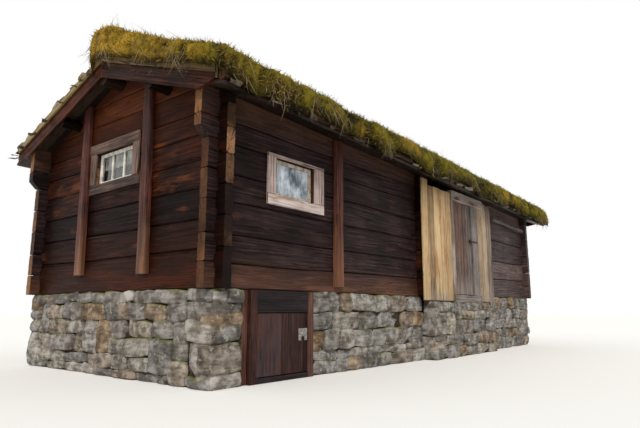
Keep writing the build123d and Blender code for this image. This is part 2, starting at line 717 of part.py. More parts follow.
NODES = {
    "base_near_gable": base_near_gable,
    "base_front": base_front,
    "base_passage": base_passage,
    "base_far_front": base_far_front,
    "base_far_gable": base_far_gable,
    "base_back": base_back,
    "base_cross_walls": base_cross_walls,
    "front_wall": front_wall,
    "near_gable_wall": near_gable_wall,
    "back_wall": back_wall,
    "main_cross_wall": main_cross,
    "far_front_wall": far_front,
    "far_cross_wall": far_cross,
    "far_gable_wall": far_gable_wall,
    "floors": floors,
    "front_window_casing": front_casing,
    "front_window_sash": front_sash,
    "front_window_glass": front_glass,
    "gable_window_casing": gable_casing,
    "gable_window_sash": gable_sash,
    "gable_window_glass": gable_glass,
    "front_brace": front_brace,
    "gable_braces": gable_braces,
    "passage_boards_left": boards_left,
    "passage_boards_right": boards_right,
    "passage_boards_back": back_boards,
    "passage_rails": rails,
    "door_frame": door_frame,
    "door_leaf": door_leaf,
    "door_latch": [latch],
    "cellar_frame": cellar_frame,
    "cellar_door_leaf": cellar_leaf,
    "cellar_hasp": [hasp],
    "eave_pole": [pole],
    "ridge_purlin": [purlin(RIDGE_Y, RIDGE_R)],
    "side_purlins": purlins()[1:],
    "roof_deck_front": [deck_front],
    "roof_deck_back": [mirrored(deck_front)],
    "barge_boards_near": barge_near,
    "barge_boards_far": barge_far,
    "eave_logs": [eave_log, mirrored(eave_log)],
    "turf_front": [turf_front],
    "turf_back": [mirrored(turf_front)],
}

solids = {name: [solid for shape in shapes for solid in shape.solids()] for name, shapes in NODES.items()}
outline = Compound([solid for group in solids.values() for solid in group]).bounding_box()
TO_ORIGIN = Pos(-outline.center().X, -outline.center().Y, BASE_H)

os.makedirs("parts", exist_ok=True)
for name, group in solids.items():
    export_step(TO_ORIGIN * Compound(group), f"parts/{name}.step")
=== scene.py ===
"""Log cabin with a turf roof: the finished look of each piece, built on the solid model.

Everything is in metres in the solid model's own frame. Places along the building are measured from
CORNER, the outer corner of the near gable and the front wall at the underside of the sill logs: X along
the front wall, Y into the building and Z up.
"""

import json
import random
from math import pi, radians, sin

import bmesh
import bpy
from bpy.props import FloatProperty, PointerProperty
from mathutils import Matrix, Vector, noise


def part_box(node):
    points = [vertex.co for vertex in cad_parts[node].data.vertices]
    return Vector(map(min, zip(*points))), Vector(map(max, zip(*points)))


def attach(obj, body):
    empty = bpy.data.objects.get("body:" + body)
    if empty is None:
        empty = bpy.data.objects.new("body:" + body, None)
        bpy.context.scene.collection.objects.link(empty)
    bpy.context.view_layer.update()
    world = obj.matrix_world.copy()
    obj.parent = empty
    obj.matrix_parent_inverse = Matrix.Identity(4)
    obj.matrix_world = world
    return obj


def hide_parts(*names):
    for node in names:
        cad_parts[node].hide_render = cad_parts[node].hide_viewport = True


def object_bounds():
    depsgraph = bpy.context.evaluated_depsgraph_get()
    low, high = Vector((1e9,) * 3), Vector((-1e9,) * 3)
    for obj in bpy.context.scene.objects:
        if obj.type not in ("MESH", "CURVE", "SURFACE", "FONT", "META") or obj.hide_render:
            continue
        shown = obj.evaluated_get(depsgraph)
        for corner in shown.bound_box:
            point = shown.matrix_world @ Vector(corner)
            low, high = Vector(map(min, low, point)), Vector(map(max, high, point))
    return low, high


bl_info = {
    "name": "Log cabin with a turf roof",
    "version": (1, 0, 0),
    "blender": (4, 5, 0),
    "location": "3D View > Sidebar > Cabin",
    "description": "Builds the finished pieces of a notched log cabin on its solid model",
    "category": "Add Mesh",
}

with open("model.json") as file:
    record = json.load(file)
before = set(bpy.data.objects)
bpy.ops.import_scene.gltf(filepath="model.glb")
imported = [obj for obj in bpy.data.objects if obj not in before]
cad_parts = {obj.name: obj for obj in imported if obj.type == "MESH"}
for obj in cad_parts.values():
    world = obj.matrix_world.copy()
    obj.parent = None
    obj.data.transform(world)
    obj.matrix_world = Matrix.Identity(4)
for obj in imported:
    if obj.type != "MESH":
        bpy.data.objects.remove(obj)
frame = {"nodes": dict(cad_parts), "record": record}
SOLID_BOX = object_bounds()
BODY_OF = {node: body for body, nodes in frame["record"]["behaviour"]["bodies"].items() for node in nodes}

X, Y, Z = range(3)
AXES = Vector((1, 0, 0)), Vector((0, 1, 0)), Vector((0, 0, 1))

# Measures of the solid model that the boxes of its nodes don't give
BASE_OUT = 0.02  # how far the stones stand out past the logs
BASE_T = 0.4  # thickness of the base
STEP_DROP = 0.08  # the base under the passage is lower by this
DECK_T = 0.04
ROOF_TURN = 0.34  # about the roof's pitch, in radians

gable_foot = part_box("base_near_gable")
CORNER = Vector((gable_foot[0].x + BASE_OUT, gable_foot[0].y + BASE_OUT, gable_foot[1].z))
RIDGE_Y = (gable_foot[0].y + gable_foot[1].y) / 2
deck_low, deck_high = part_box("roof_deck_front")
near_boards, far_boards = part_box("barge_boards_near"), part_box("barge_boards_far")
NEAR_X, FAR_X = near_boards[0].x, far_boards[1].x  # outer faces of the barge boards' caps
SINK = (near_boards[1].z - far_boards[1].z) / (far_boards[1].x - near_boards[1].x)  # of the roof along X
FALL = (deck_high.z - deck_low.z - SINK * (deck_high.x - deck_low.x) - DECK_T) / (deck_high.y - deck_low.y)

GROWTH_ROOM = 0.028  # share of each side of the solid model that blades may stand out by
SHARP = radians(40)  # arrises sharper than this are worn round
STILL = 0.25  # joints between logs don't sway this near a wall's foot and head
BED_WANDER = 0.045  # of the joints between courses of stones, up or down
TALL_SHARE = 0.2  # share of the shorter stones that stand through two courses
TALL_LONGEST = 0.5
RUBBLE_IN = 0.045  # from the face of the base in to its heart
PIT = "#0d0907"  # the depth of slits and checks in wood


def deck_top(x, y):
    """Height of the roof deck's upper face at a place."""
    return deck_high.z - SINK * (x - deck_low.x) - FALL * abs(y - RIDGE_Y)


def eased(value):
    """0 to 1, smoothly."""
    value = max(0.0, min(1.0, value))
    return value * value * (3 - 2 * value)


def srgb(code):
    """A colour written as it looks on screen, as the linear value that a socket takes."""
    parts = [int(code[i : i + 2], 16) / 255 for i in (1, 3, 5)]
    return (*(p / 12.92 if p <= 0.04045 else ((p + 0.055) / 1.055) ** 2.4 for p in parts), 1.0)


def node(tree, kind, inputs=None, **settings):
    """Adds a node; an input is a value or another node's output, by the socket's name or place."""
    made = tree.nodes.new(kind)
    for name, value in settings.items():
        setattr(made, name, value)
    for key, value in (inputs or {}).items():
        if isinstance(value, bpy.types.NodeSocket):
            tree.links.new(value, made.inputs[key])
        else:
            made.inputs[key].default_value = value
    return made


def layer(tree, name, kind="Fac"):
    """One of the mesh's own layers, in a material."""
    return node(tree, "ShaderNodeAttribute", attribute_name=name).outputs[kind]


def here(tree):
    """The place in metres in the shared frame, in a material."""
    return node(tree, "ShaderNodeTexCoord").outputs["Object"]


def ramp(tree, fac, stops):
    """A colour ramp through (place, hex colour) stops."""
    made = node(tree, "ShaderNodeValToRGB", {0: fac})
    points = made.color_ramp.elements
    while len(points) < len(stops):
        points.new(0.5)
    for point, (at, code) in zip(points, stops):
        point.position = at
        point.color = srgb(code)
    return made.outputs["Color"]


def mixed(tree, fac, a, b, how="MIX"):
    """One colour laid over another by a factor."""
    made = node(tree, "ShaderNodeMix", {0: fac, 6: a, 7: b}, data_type="RGBA", blend_type=how)
    return made.outputs[2]


def chain(tree, how, *values):
    """One arithmetic operation through values and sockets in turn."""
    out = values[0]
    for value in values[1:]:
        out = node(tree, "ShaderNodeMath", {0: out, 1: value}, operation=how).outputs[0]
    return out


def times(tree, *values):
    return chain(tree, "MULTIPLY", *values)


def plus(tree, *values):
    return chain(tree, "ADD", *values)


def minus(tree, *values):
    return chain(tree, "SUBTRACT", *values)


def single(tree, how, value):
    """An arithmetic operation on one value."""
    return node(tree, "ShaderNodeMath", {0: value}, operation=how).outputs[0]


def weighed(tree, *parts):
    """The sum of (value, share) pairs."""
    return plus(tree, *[times(tree, part, share) for part, share in parts])


def tinted(tree, colour, code, *factors):
    """A hex colour laid over a colour by the product of the factors."""
    return mixed(tree, times(tree, *factors), colour, srgb(code))


def vectors(tree, how, *values):
    """A vector operation on one vector or two."""
    return node(tree, "ShaderNodeVectorMath", dict(enumerate(values)), operation=how).outputs[0]


def scaled(tree, vector, by):
    return vectors(tree, "MULTIPLY", vector, by)


def split(tree, vector, axis):
    """A vector's part along one axis."""
    return node(tree, "ShaderNodeSeparateXYZ", {0: vector}).outputs[axis]


def combined(tree, *parts):
    return node(tree, "ShaderNodeCombineXYZ", dict(enumerate(parts))).outputs[0]


def between(tree, fac, a, b):
    """A vector part of the way from one to another."""
    return node(tree, "ShaderNodeMix", {0: fac, 4: a, 5: b}, data_type="VECTOR").outputs[1]


def upward(tree):
    """1 on faces that look up, 0 on upright ones and -1 on those that look down."""
    return split(tree, node(tree, "ShaderNodeNewGeometry").outputs["Normal"], Z)


def fade(tree, value, low, high):
    """0 at low and below, 1 at high and above, and smooth between."""
    inputs = {"Value": value, "From Min": low, "From Max": high}
    return node(tree, "ShaderNodeMapRange", inputs, interpolation_type="SMOOTHSTEP").outputs["Result"]


def gone(tree, value, low, high):
    """1 at low and below, 0 at high and above, and smooth between."""
    return minus(tree, 1.0, fade(tree, value, low, high))


def mottle(tree, vector, scale, detail=3.0, rough=0.55):
    """Cloudy noise from 0 to 1, with so many cells a metre."""
    inputs = {"Vector": vector, "Scale": scale, "Detail": detail, "Roughness": rough}
    return node(tree, "ShaderNodeTexNoise", inputs).outputs["Fac"]


def finish(tree, colour, roughness, height, depth, **fixed):
    """Ends a material in its shader, with a bump of so many metres; fixed values go on the shader itself."""
    bump = node(tree, "ShaderNodeBump", {"Height": height, "Distance": depth, "Strength": 1.0})
    inputs = {"Base Color": colour, "Roughness": roughness, "Normal": bump.outputs["Normal"]}
    inputs.update({name.replace("_", " "): value for name, value in fixed.items()})
    shader = node(tree, "ShaderNodeBsdfPrincipled", inputs)
    node(tree, "ShaderNodeOutputMaterial", {"Surface": shader.outputs[0]})


def blank(name):
    """A new material with an empty node tree."""
    material = bpy.data.materials.new(name)
    material.use_nodes = True
    material.node_tree.nodes.clear()
    return material, material.node_tree


def drawn_boards(tree, place, axis, width):
    """Boards drawn on a slab, so wide along an axis: each one's own tone, and the seams between them."""
    count = chain(tree, "DIVIDE", split(tree, place, axis), width)
    whole = single(tree, "FLOOR", count)
    tone = node(tree, "ShaderNodeTexWhiteNoise", {"W": whole}, noise_dimensions="1D").outputs["Value"]
    return tone, gone(tree, chain(tree, "PINGPONG", count, 0.5), 0.01, 0.03)


def drying_slits(tree, fibre, breaks, share):
    """Slits that wander along the fibre and come and go."""
    wander = mottle(tree, scaled(tree, fibre, (0.7, 24.0, 24.0)), 1.0, 2.0)
    off = single(tree, "ABSOLUTE", minus(tree, wander, 0.5))
    return times(tree, gone(tree, off, 0.004, 0.018), breaks, share)


def knots(tree, fibre):
    """Dark knots, drawn out along the fibre, in some of the cells that they could stand in."""
    inputs = {"Vector": scaled(tree, fibre, (3.2, 11.0, 11.0)), "Scale": 1.0}
    cells = node(tree, "ShaderNodeTexVoronoi", inputs)
    rare = node(tree, "ShaderNodeSeparateColor", {0: cells.outputs["Color"]}).outputs[0]
    return times(tree, gone(tree, cells.outputs["Distance"], 0.05, 0.16), fade(tree, rare, 0.6, 0.66), 0.75)


def sawn_end(tree, fibre, tone, clouds, ends):
    """The end of a timber: year rings, and checks that run out from the heart."""
    inputs = {"Vector": fibre, "Scale": 26.0, "Distortion": 2.2, "Detail": 2.0, "Detail Scale": 0.35}
    rings = node(tree, "ShaderNodeTexWave", inputs, wave_type="RINGS", rings_direction="X").outputs["Fac"]
    turn = chain(tree, "ARCTAN2", split(tree, fibre, Y), split(tree, fibre, Z))
    inputs = {"W": weighed(tree, (turn, 2.6), (tone, 90.0)), "Scale": 1.0, "Detail": 2.0}
    spoke = node(tree, "ShaderNodeTexNoise", inputs, noise_dimensions="1D").outputs["Fac"]
    checks = gone(tree, single(tree, "ABSOLUTE", minus(tree, spoke, 0.5)), 0.004, 0.022)
    stops = (0.2, 0.85) if len(ends) == 2 else (0.4, 0.62, 0.82)
    heart = weighed(tree, (rings, 0.2), (tone, 0.5), (clouds, 0.5))
    return tinted(tree, ramp(tree, heart, tuple(zip(stops, ends))), PIT, checks, 0.8)


def wood(
    name, streaks, ends="#2b1c12 #7a5434", grain=0.022, slits=0.6, depth=0.006, spread=0.26, blotch=None,
    second=None, stains_and_shade=(), film=0, boards=None, gloss=0.15, eave_shade=None,
):
    """Softwood left to the weather: streaks along the fibre, knots, drying slits, and rings on sawn ends.

    The fibre runs along X of the "grain" layer, which starts at each timber's own middle. The streaks'
    colours go from dark to pale, those of sawn ends from heart to rim, and tones spread so far from
    timber to timber. A timber has as much of the second colours as its "second" layer says. A blotch
    is (colour, share). Stains are (colour, axis, place where full, place where gone, strength) and patchy.
    Some of these are painted shade, where the colour stands for the shade that falls on that part. Film is
    the share of the upward faces with a grey-green skin, and boards are (axis, width) drawn on a slab. Sawn
    ends get painted shade under the eaves between two given heights: none below the first, full above the
    second.
    """
    material, tree = blank(name)
    fibre, place = layer(tree, "grain", "Vector"), here(tree)
    tone, seam = drawn_boards(tree, place, *boards) if boards else (layer(tree, "tone"), 0.0)

    dark = streaks.split()[0]
    stripes = mottle(tree, scaled(tree, fibre, (1.3, 1 / grain, 1 / grain)), 1.0, 5.0, 0.62)
    lines = mottle(tree, scaled(tree, fibre, (5.0, 5 / grain, 5 / grain)), 1.0, 2.0)
    clouds = mottle(tree, place, 2.1, 4.0, 0.6)
    own = times(tree, minus(tree, tone, 0.5), spread)
    shade = minus(tree, plus(tree, weighed(tree, (stripes, 0.55), (lines, 0.3), (clouds, 0.35)), own), 0.1)
    tones = (0.34, 0.5, 0.68)
    side = ramp(tree, shade, tuple(zip(tones, streaks.split())))
    if second:
        side = mixed(tree, layer(tree, "second"), side, ramp(tree, shade, tuple(zip(tones, second.split()))))
    if blotch:
        code, share = blotch
        patch = plus(tree, mottle(tree, scaled(tree, fibre, (1.6, 7.0, 7.0)), 1.0, 4.0), own)
        side = tinted(tree, side, code, fade(tree, patch, 0.66 - 0.2 * share, 0.74), 0.85)

    breaks = fade(tree, mottle(tree, scaled(tree, fibre, (1.1, 9.0, 9.0)), 1.0), 0.46, 0.6)
    slit = chain(tree, "MAXIMUM", drying_slits(tree, fibre, breaks, slits), seam)
    side = tinted(tree, side, PIT, slit)
    side = tinted(tree, side, dark, knots(tree, fibre))
    uneven = plus(tree, 0.45, times(tree, breaks, 0.55))
    # Each of these tints the side grain; some are real weathering and some are painted shade
    for code, axis, full, none, strength in stains_and_shade:
        run = none - full
        rag = plus(tree, split(tree, place, axis), times(tree, clouds, run * 0.9))
        over = fade(tree, rag, none + run * 0.45, full + run * 0.45)
        side = tinted(tree, side, code, over, strength, uneven)

    face = sawn_end(tree, fibre, tone, clouds, ends.split())
    # Painted shade on the sawn ends under the eaves, above the given heights
    if eave_shade:
        face = tinted(tree, face, "#120b08", fade(tree, split(tree, place, Z), *eave_shade), 0.8)
    colour = mixed(tree, layer(tree, "sawn"), side, face)
    if film:
        skin = fade(tree, clouds, 0.62 - film * 0.4, 0.7)
        colour = tinted(tree, colour, "#77753f", fade(tree, upward(tree), 0.1, 0.5), skin)
    relief = minus(tree, plus(tree, stripes, times(tree, lines, 0.5)), slit)
    finish(tree, colour, fade(tree, stripes, 1.4, -0.6), relief, depth, Specular_IOR_Level=gloss)
    return material


def fieldstone(name):
    """Split and weathered schist laid dry: grey to brown from stone to stone, gritty, with pale lichen
    rings and moss on the ledges."""
    material, tree = blank(name)
    place = here(tree)
    clouds = mottle(tree, place, 7.0, 5.0, 0.6)
    layers = mottle(tree, scaled(tree, place, (5.0, 5.0, 26.0)), 1.0, 5.0, 0.65)
    grit = mottle(tree, place, 130.0, 2.0)
    kinds = (
        (0.0, "#77736e"), (0.2, "#a19e9b"), (0.4, "#8b8680"), (0.55, "#b3b0ac"),
        (0.7, "#9c8468"), (0.85, "#8d8a88"), (1.0, "#b7b0a3"),
    )
    shade = weighed(tree, (clouds, 0.6), (layers, 0.4))
    light = ramp(tree, shade, ((0.34, "#3c3733"), (0.47, "#a9a39c"), (0.6, "#ffffff")))
    colour = mixed(tree, 0.95, ramp(tree, layer(tree, "tone"), kinds), light, "MULTIPLY")
    colour = tinted(tree, colour, "#35322e", fade(tree, grit, 0.55, 0.7), 0.35)
    colour = tinted(tree, colour, "#aeb0a6", fade(tree, mottle(tree, place, 13.0, 3.0), 0.6, 0.66), 0.45)
    fields = fade(tree, mottle(tree, place, 1.7, 3.0), 0.46, 0.56)
    colour = tinted(tree, colour, "#5f6420", fade(tree, upward(tree), 0.15, 0.75), fields, 0.85)
    finish(tree, colour, 0.9, plus(tree, shade, times(tree, grit, 0.25)), 0.014, Specular_IOR_Level=0.25)
    return material


def shade_dark_earth(name):
    """Packed soil and rubble in the heart of the base, painted dark as the shade deep in the joints, so that
    the joints read as deep.
    """
    material, tree = blank(name)
    lumps = mottle(tree, here(tree), 24.0, 4.0)
    colour = ramp(tree, lumps, ((0.35, "#1c1713"), (0.65, "#4a4035")))
    finish(tree, colour, 0.95, lumps, 0.02, Specular_IOR_Level=0.1)
    return material


def cushion_moss(name):
    """Feather moss over turf: soft mounds, yellow-green to gold, with painted light on the tops of the
    mounds and painted shade, dark brown-green, in the hollows and underneath. The stems are too fine to
    show, so their pattern is drawn at 12 mm."""
    material, tree = blank(name)
    place = here(tree)
    clumps = mottle(tree, place, 14.0, 4.0, 0.65)
    stems = mottle(tree, place, 85.0, 3.0, 0.75)
    # Painted light and shade: the higher a place stands in the mounds, the lighter it is painted
    shade = minus(tree, weighed(tree, (layer(tree, "high"), 0.5), (clumps, 0.35), (stems, 0.5)), 0.12)
    dull = ramp(tree, shade, ((0.4, "#0e0b05"), (0.5, "#28230b"), (0.6, "#524a14"), (0.76, "#8a7c21")))
    rich = ramp(tree, shade, ((0.4, "#1c1207"), (0.5, "#523b0e"), (0.6, "#96791c"), (0.76, "#cda53b")))
    golden = plus(tree, layer(tree, "gold"), mottle(tree, place, 1.3, 3.0))
    colour = mixed(tree, fade(tree, golden, 0.52, 0.78), dull, rich)
    colour = tinted(tree, colour, "#4d3c1e", fade(tree, mottle(tree, place, 2.3, 4.0), 0.56, 0.68), 0.55)
    # Painted shade on the faces that look down
    colour = tinted(tree, colour, "#1d160b", gone(tree, upward(tree), -0.6, 0.15), 0.7)
    finish(tree, colour, 0.95, plus(tree, clumps, stems), 0.035, Specular_IOR_Level=0.1)
    return material


def leafy(name, stops, dry=None):
    """Blades and stems: the colour runs from root to tip and differs from blade to blade. In patches, and
    more towards the near gable, they have the dry stops."""
    material, tree = blank(name)
    tip = layer(tree, "tip")
    shade = weighed(tree, (tip, 0.5), (layer(tree, "tone"), 0.5))
    colour = ramp(tree, shade, stops)
    if dry:
        place = here(tree)
        near = times(tree, fade(tree, split(tree, place, X), CORNER.x + 2.2, CORNER.x - 0.3), 0.26)
        patch = fade(tree, plus(tree, near, mottle(tree, place, 1.3, 3.0)), 0.52, 0.7)
        colour = mixed(tree, patch, colour, ramp(tree, shade, dry))
    finish(tree, colour, 0.8, tip, 0.001, Specular_IOR_Level=0.2)
    return material


def old_paint(name, dirty, clean, worn):
    """White oil paint on a sash: slightly yellow, grey where dirt sits, and worn to the wood in specks."""
    material, tree = blank(name)
    place = here(tree)
    dirt = ramp(tree, mottle(tree, place, 14.0, 4.0), ((0.35, dirty), (0.6, clean)))
    bare = fade(tree, mottle(tree, place, 60.0, 2.0), worn, worn + 0.04)
    finish(tree, tinted(tree, dirt, "#7d6b59", bare), 0.55, minus(tree, 1.0, bare), 0.001)
    return material


def window_glass(name, dust_and_sky, clear):
    """Old drawn glass with a faint wave, under dust and lime that dried in cloudy patches; on the limy pane
    these patches are partly dust and lime and partly a painted reflection of the sky, in blue-grey.
    """
    material, tree = blank(name)
    place = here(tree)
    rough = fade(tree, mottle(tree, place, 9.0, 3.0), 0.2, 3.0)
    clouds = mottle(tree, scaled(tree, place, (5.0, 5.0, 3.0)), 1.0, 5.0, 0.7)
    colour = ramp(tree, clouds, tuple(zip((0.38, 0.5, 0.64), dust_and_sky)))
    wave = mottle(tree, place, 6.0, 1.0)
    finish(tree, colour, rough, wave, 0.002, IOR=1.52, Transmission_Weight=clear)
    return material


def cotton(name):
    """Thin unbleached cotton, faded unevenly; its weave is too fine to show and is drawn at 6 mm."""
    material, tree = blank(name)
    place = here(tree)
    weave = mottle(tree, scaled(tree, place, (160.0, 160.0, 160.0)), 1.0, 1.0)
    colour = ramp(tree, mottle(tree, place, 9.0, 3.0), ((0.35, "#a9a294"), (0.65, "#d9d4c8")))
    finish(tree, colour, 0.95, weave, 0.0006, Specular_IOR_Level=0.1)
    return material


def rusty_iron(name, dark, rust, polish):
    """Forged iron left outdoors: rust in patches over a darker skin, pitted."""
    material, tree = blank(name)
    place = here(tree)
    patches = mottle(tree, place, 42.0, 5.0, 0.65)
    relief = plus(tree, patches, mottle(tree, place, 260.0, 2.0))
    colour = ramp(tree, patches, ((0.4, dark), (0.62, rust)))
    finish(tree, colour, fade(tree, patches, -0.6, 0.9), relief, 0.001, Metallic=polish)
    return material


def birch_bark(name):
    """Birch bark laid under the turf: chalk white to tan from scrap to scrap, with dark dashes."""
    material, tree = blank(name)
    place = here(tree)
    dashes = mottle(tree, scaled(tree, place, (30.0, 90.0, 240.0)), 1.0, 2.0)
    patches = weighed(tree, (mottle(tree, place, 18.0, 3.0), 0.6), (layer(tree, "tone"), 0.4))
    colour = ramp(tree, patches, ((0.25, "#2c2118"), (0.46, "#544638"), (0.6, "#72685a"), (0.8, "#9d9486")))
    colour = tinted(tree, colour, "#3a2c22", fade(tree, dashes, 0.62, 0.66))
    finish(tree, colour, 0.8, dashes, 0.001, Specular_IOR_Level=0.3)
    return material


LOW = CORNER.z
LEAF_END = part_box("cellar_door_leaf")[1].x
CELLAR_WOOD = dict(
    streaks="#100b0c #261b1e #443637", ends="#3b2a22 #7d5f48", slits=0.8,
    blotch=("#4c2f27", 0.35), second="#1c0f0c #462a22 #6d4c3f", gloss=0.1,
)
FINISHES = {
    # Pine tarred long ago: near black with a violet cast, browner along the sill and under the eave
    "tarred_logs": dict(
        streaks="#0b0706 #231716 #4a3836", ends="#1c110b #54331f #946841", slits=0.9,
        depth=0.014, blotch=("#4f2b1c", 0.34), spread=0.13, gloss=0.08,
        stains_and_shade=(("#6d4b3b", Z, LOW, LOW + 0.42, 0.85), ("#5f4330", Z, LOW + 2.2, LOW + 1.75, 0.85)),
    ),
    # Pine whose tar has worn to red-brown, with painted shade towards the back and past the corner, and
    # painted shade on its ends under the eaves
    "red_logs": dict(
        streaks="#090403 #190a07 #452010", ends="#150c09 #33201a #c4926a", slits=0.9,
        depth=0.014, blotch=("#66371d", 0.44), spread=0.24, gloss=0.06, eave_shade=(LOW + 1.5, LOW + 1.8),
        stains_and_shade=(
            ("#532714", Z, LOW, LOW + 0.9, 0.6),
            ("#5f3018", Z, LOW + 2.35, LOW + 1.65, 0.75),
            # Painted shade: darker towards the back and on the logs past the corner
            ("#100908", Y, RIDGE_Y + 2.0, RIDGE_Y + 0.6, 0.6),
            ("#120b0a", Y, CORNER.y - 0.03, CORNER.y + 0.03, 0.9),
        ),
    ),
    # Sheltered pine between the rooms: dark brown and dull
    "cross_logs": dict(
        streaks="#090403 #1d0f0a #432416", ends="#120a07 #4a281a", slits=0.9, depth=0.014,
        blotch=("#4c2614", 0.3), spread=0.16, gloss=0.06,
    ),
    # Pine bleached over its tar: plum grey, coarse and split
    "plum_logs": dict(
        streaks="#1a1111 #443331 #755f5a", ends="#120b09 #33231b", slits=1.0, depth=0.02,
        blotch=("#6a564c", 0.34), spread=0.16,
    ),
    # Posts hewn later: red-brown, bleached at the foot, with painted shade under the roof
    "hewn_braces": dict(
        streaks="#1b0b08 #5c3226 #905c44", ends="#4a2e1c #8f6440", slits=1.0,
        # The second stain is painted shade under the roof
        stains_and_shade=(("#93694b", Z, LOW + 0.05, LOW + 1.1, 0.6), ("#4a2824", Z, LOW + 2.5, LOW + 1.5, 0.6)),
    ),
    # Bare boards gone silver grey
    "silver_boards": dict(
        streaks="#3f3833 #776c66 #a1968d", ends="#5a4c40 #93836f", slits=0.9,
        blotch=("#69503f", 0.5),
    ),
    # A peeled pole, warm grey
    "pole_wood": dict(streaks="#322a26 #6b5f57 #95887b", ends="#5a4c40 #93836f", slits=0.8),
    # Casing with painted sunlight: pale rose grey with rusty patches
    "front_casing": dict(
        streaks="#614c44 #b09f98 #d5c9c3", ends="#5c4536 #94765b", slits=0.8,
        blotch=("#7b4a30", 0.5),
    ),
    # Casing with painted shade: grey-brown with rusty patches
    "gable_casing": dict(
        streaks="#2b1d17 #665045 #99857a", ends="#5c4536 #94765b", slits=0.9,
        blotch=("#74431f", 0.6),
    ),
    # New boards, straw yellow with resin streaks, grey at the foot and with painted shadow at the top; the
    # second colours are those of greyed ones
    "straw_boards": dict(
        streaks="#6e5433 #ad8e65 #d0b487", ends="#6e5433 #b5955f", grain=0.018, slits=1.0,
        spread=0.24, blotch=("#a36c34", 0.25), second="#4d4138 #8d7a68 #ab9a84",
        # The second stain is painted shadow at the top of the boards
        stains_and_shade=(("#867a6c", Z, LOW - 0.06, LOW + 0.28, 0.7), ("#4f3829", Z, LOW + 1.95, LOW + 1.7, 0.8)),
    ),
    # Old door planks: brown, silver at the foot; the second colours are those of the grey planks
    "door_planks": dict(
        streaks="#2c1d16 #5f4335 #866a58", ends="#4f3d2f #8d745a", slits=1.0, spread=0.2,
        second="#433a36 #82766f #a39a93", stains_and_shade=(("#8b8079", Z, LOW + 0.05, LOW + 0.5, 0.75),),
    ),
    # Frame of the cellar door: blue-black tar; the second colours are red-brown
    "cellar_planks": CELLAR_WOOD,
    # The same on the leaf, whose last plank is painted black as the shade in the dark slot there
    "cellar_leaf": dict(CELLAR_WOOD, stains_and_shade=(("#070506", X, LEAF_END - 0.03, LEAF_END - 0.1, 0.95),)),
    # Barge boards in red-brown tar; the second colours are those of their mossy caps
    "barge_boards": dict(
        streaks="#1a0904 #4a2110 #855031", ends="#7d6650 #c2ab8d", slits=1.0,
        blotch=("#653a1e", 0.35), second="#4a3a22 #7f6c44 #a59266", film=0.4, gloss=0.08,
    ),
    # Deck boards seen from below: brown-black, darkened as painted shade under the roof
    "roof_boards": dict(
        streaks="#0d0907 #211711 #3d2e23", ends="#0f0b08 #2c2018", boards=(X, 0.17),
    ),
    # Purlins under the roof: the darkest wood, painted with the shade that falls there
    "roof_logs": dict(
        streaks="#0a0604 #1a110b #322318", ends="#120a06 #2f1d12", gloss=0.06,
    ),
    # Eave logs: wet brown with a green film on top
    "eave_logs": dict(
        streaks="#0d0805 #291b11 #4c3826", ends="#22160d #5c4330", film=0.9, gloss=0.06,
    ),
    # Bare floor boards, worn pale
    "floor_boards": dict(streaks="#54432f #8a7152 #ab9270", boards=(Y, 0.19)),
    # Rails behind the passage boards: plain brown
    "inner_rails": dict(streaks="#2b1f16 #574433 #786350"),
}


def wooden(name):
    """A finish's material, made when first asked for."""
    return bpy.data.materials.get(name) or wood(name, **FINISHES[name])


def loose_parts(bm):
    """The vertices of each loose part, in the mesh's own order."""
    bm.verts.ensure_lookup_table()
    seen = [False] * len(bm.verts)
    bm.verts.index_update()
    for start in bm.verts:
        if seen[start.index]:
            continue
        seen[start.index] = True
        part = [start]
        for vert in part:
            for edge in vert.link_edges:
                other = edge.other_vert(vert)
                if not seen[other.index]:
                    seen[other.index] = True
                    part.append(other)
        yield part


def put(name, data):
    """A new object in the scene."""
    made = bpy.data.objects.new(name, data)
    bpy.context.scene.collection.objects.link(made)
    return made


def piece(name, mesh, material, nodes=(), slot=None, body=None):
    """A finished piece: it rides with its nodes' body and stands for them."""
    if material and material.name not in mesh.materials:
        mesh.materials.append(material)
    made = put(name, mesh)
    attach(made, body or BODY_OF[nodes[0]])
    if nodes:
        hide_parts(*nodes)
    return made


def solid(*nodes):
    """The solid model's nodes as one mesh of clean flat faces."""
    bm = bmesh.new()
    for name in nodes:
        bm.from_mesh(frame["nodes"][name].data)
    bmesh.ops.remove_doubles(bm, verts=bm.verts, dist=1e-5)
    bmesh.ops.dissolve_limit(bm, angle_limit=radians(1.5), verts=bm.verts, edges=bm.edges)
    return bm


def sliced(bm, cuts):
    """Adds lines of vertices across a mesh at even steps along some axes."""
    for axis, step in cuts.items():
        low = min(vert.co[axis] for vert in bm.verts)
        high = max(vert.co[axis] for vert in bm.verts)
        for i in range(1, int((high - low) / step) + 1):
            everything = bm.verts[:] + bm.edges[:] + bm.faces[:]
            at = AXES[axis] * (low + (i - 0.4) * step)
            bmesh.ops.bisect_plane(bm, geom=everything, dist=1e-5, plane_co=at, plane_no=AXES[axis])


def closed(bm, name):
    """Ends work on a mesh and gives it as mesh data."""
    mesh = bpy.data.meshes.new(name)
    bm.to_mesh(mesh)
    bm.free()
    return mesh


def add_layer(mesh, name, values):
    """A number for each vertex, by name."""
    mesh.attributes.new(name, "FLOAT", "POINT").data.foreach_set("value", values)


def evaluated(source, modifier):
    """What a modifier makes of an object, as plain mesh data; neither is kept."""
    depsgraph = bpy.context.evaluated_depsgraph_get()
    result = bpy.data.meshes.new_from_object(source.evaluated_get(depsgraph), depsgraph=depsgraph)
    source.modifiers.remove(modifier)
    bpy.data.objects.remove(source)
    return result


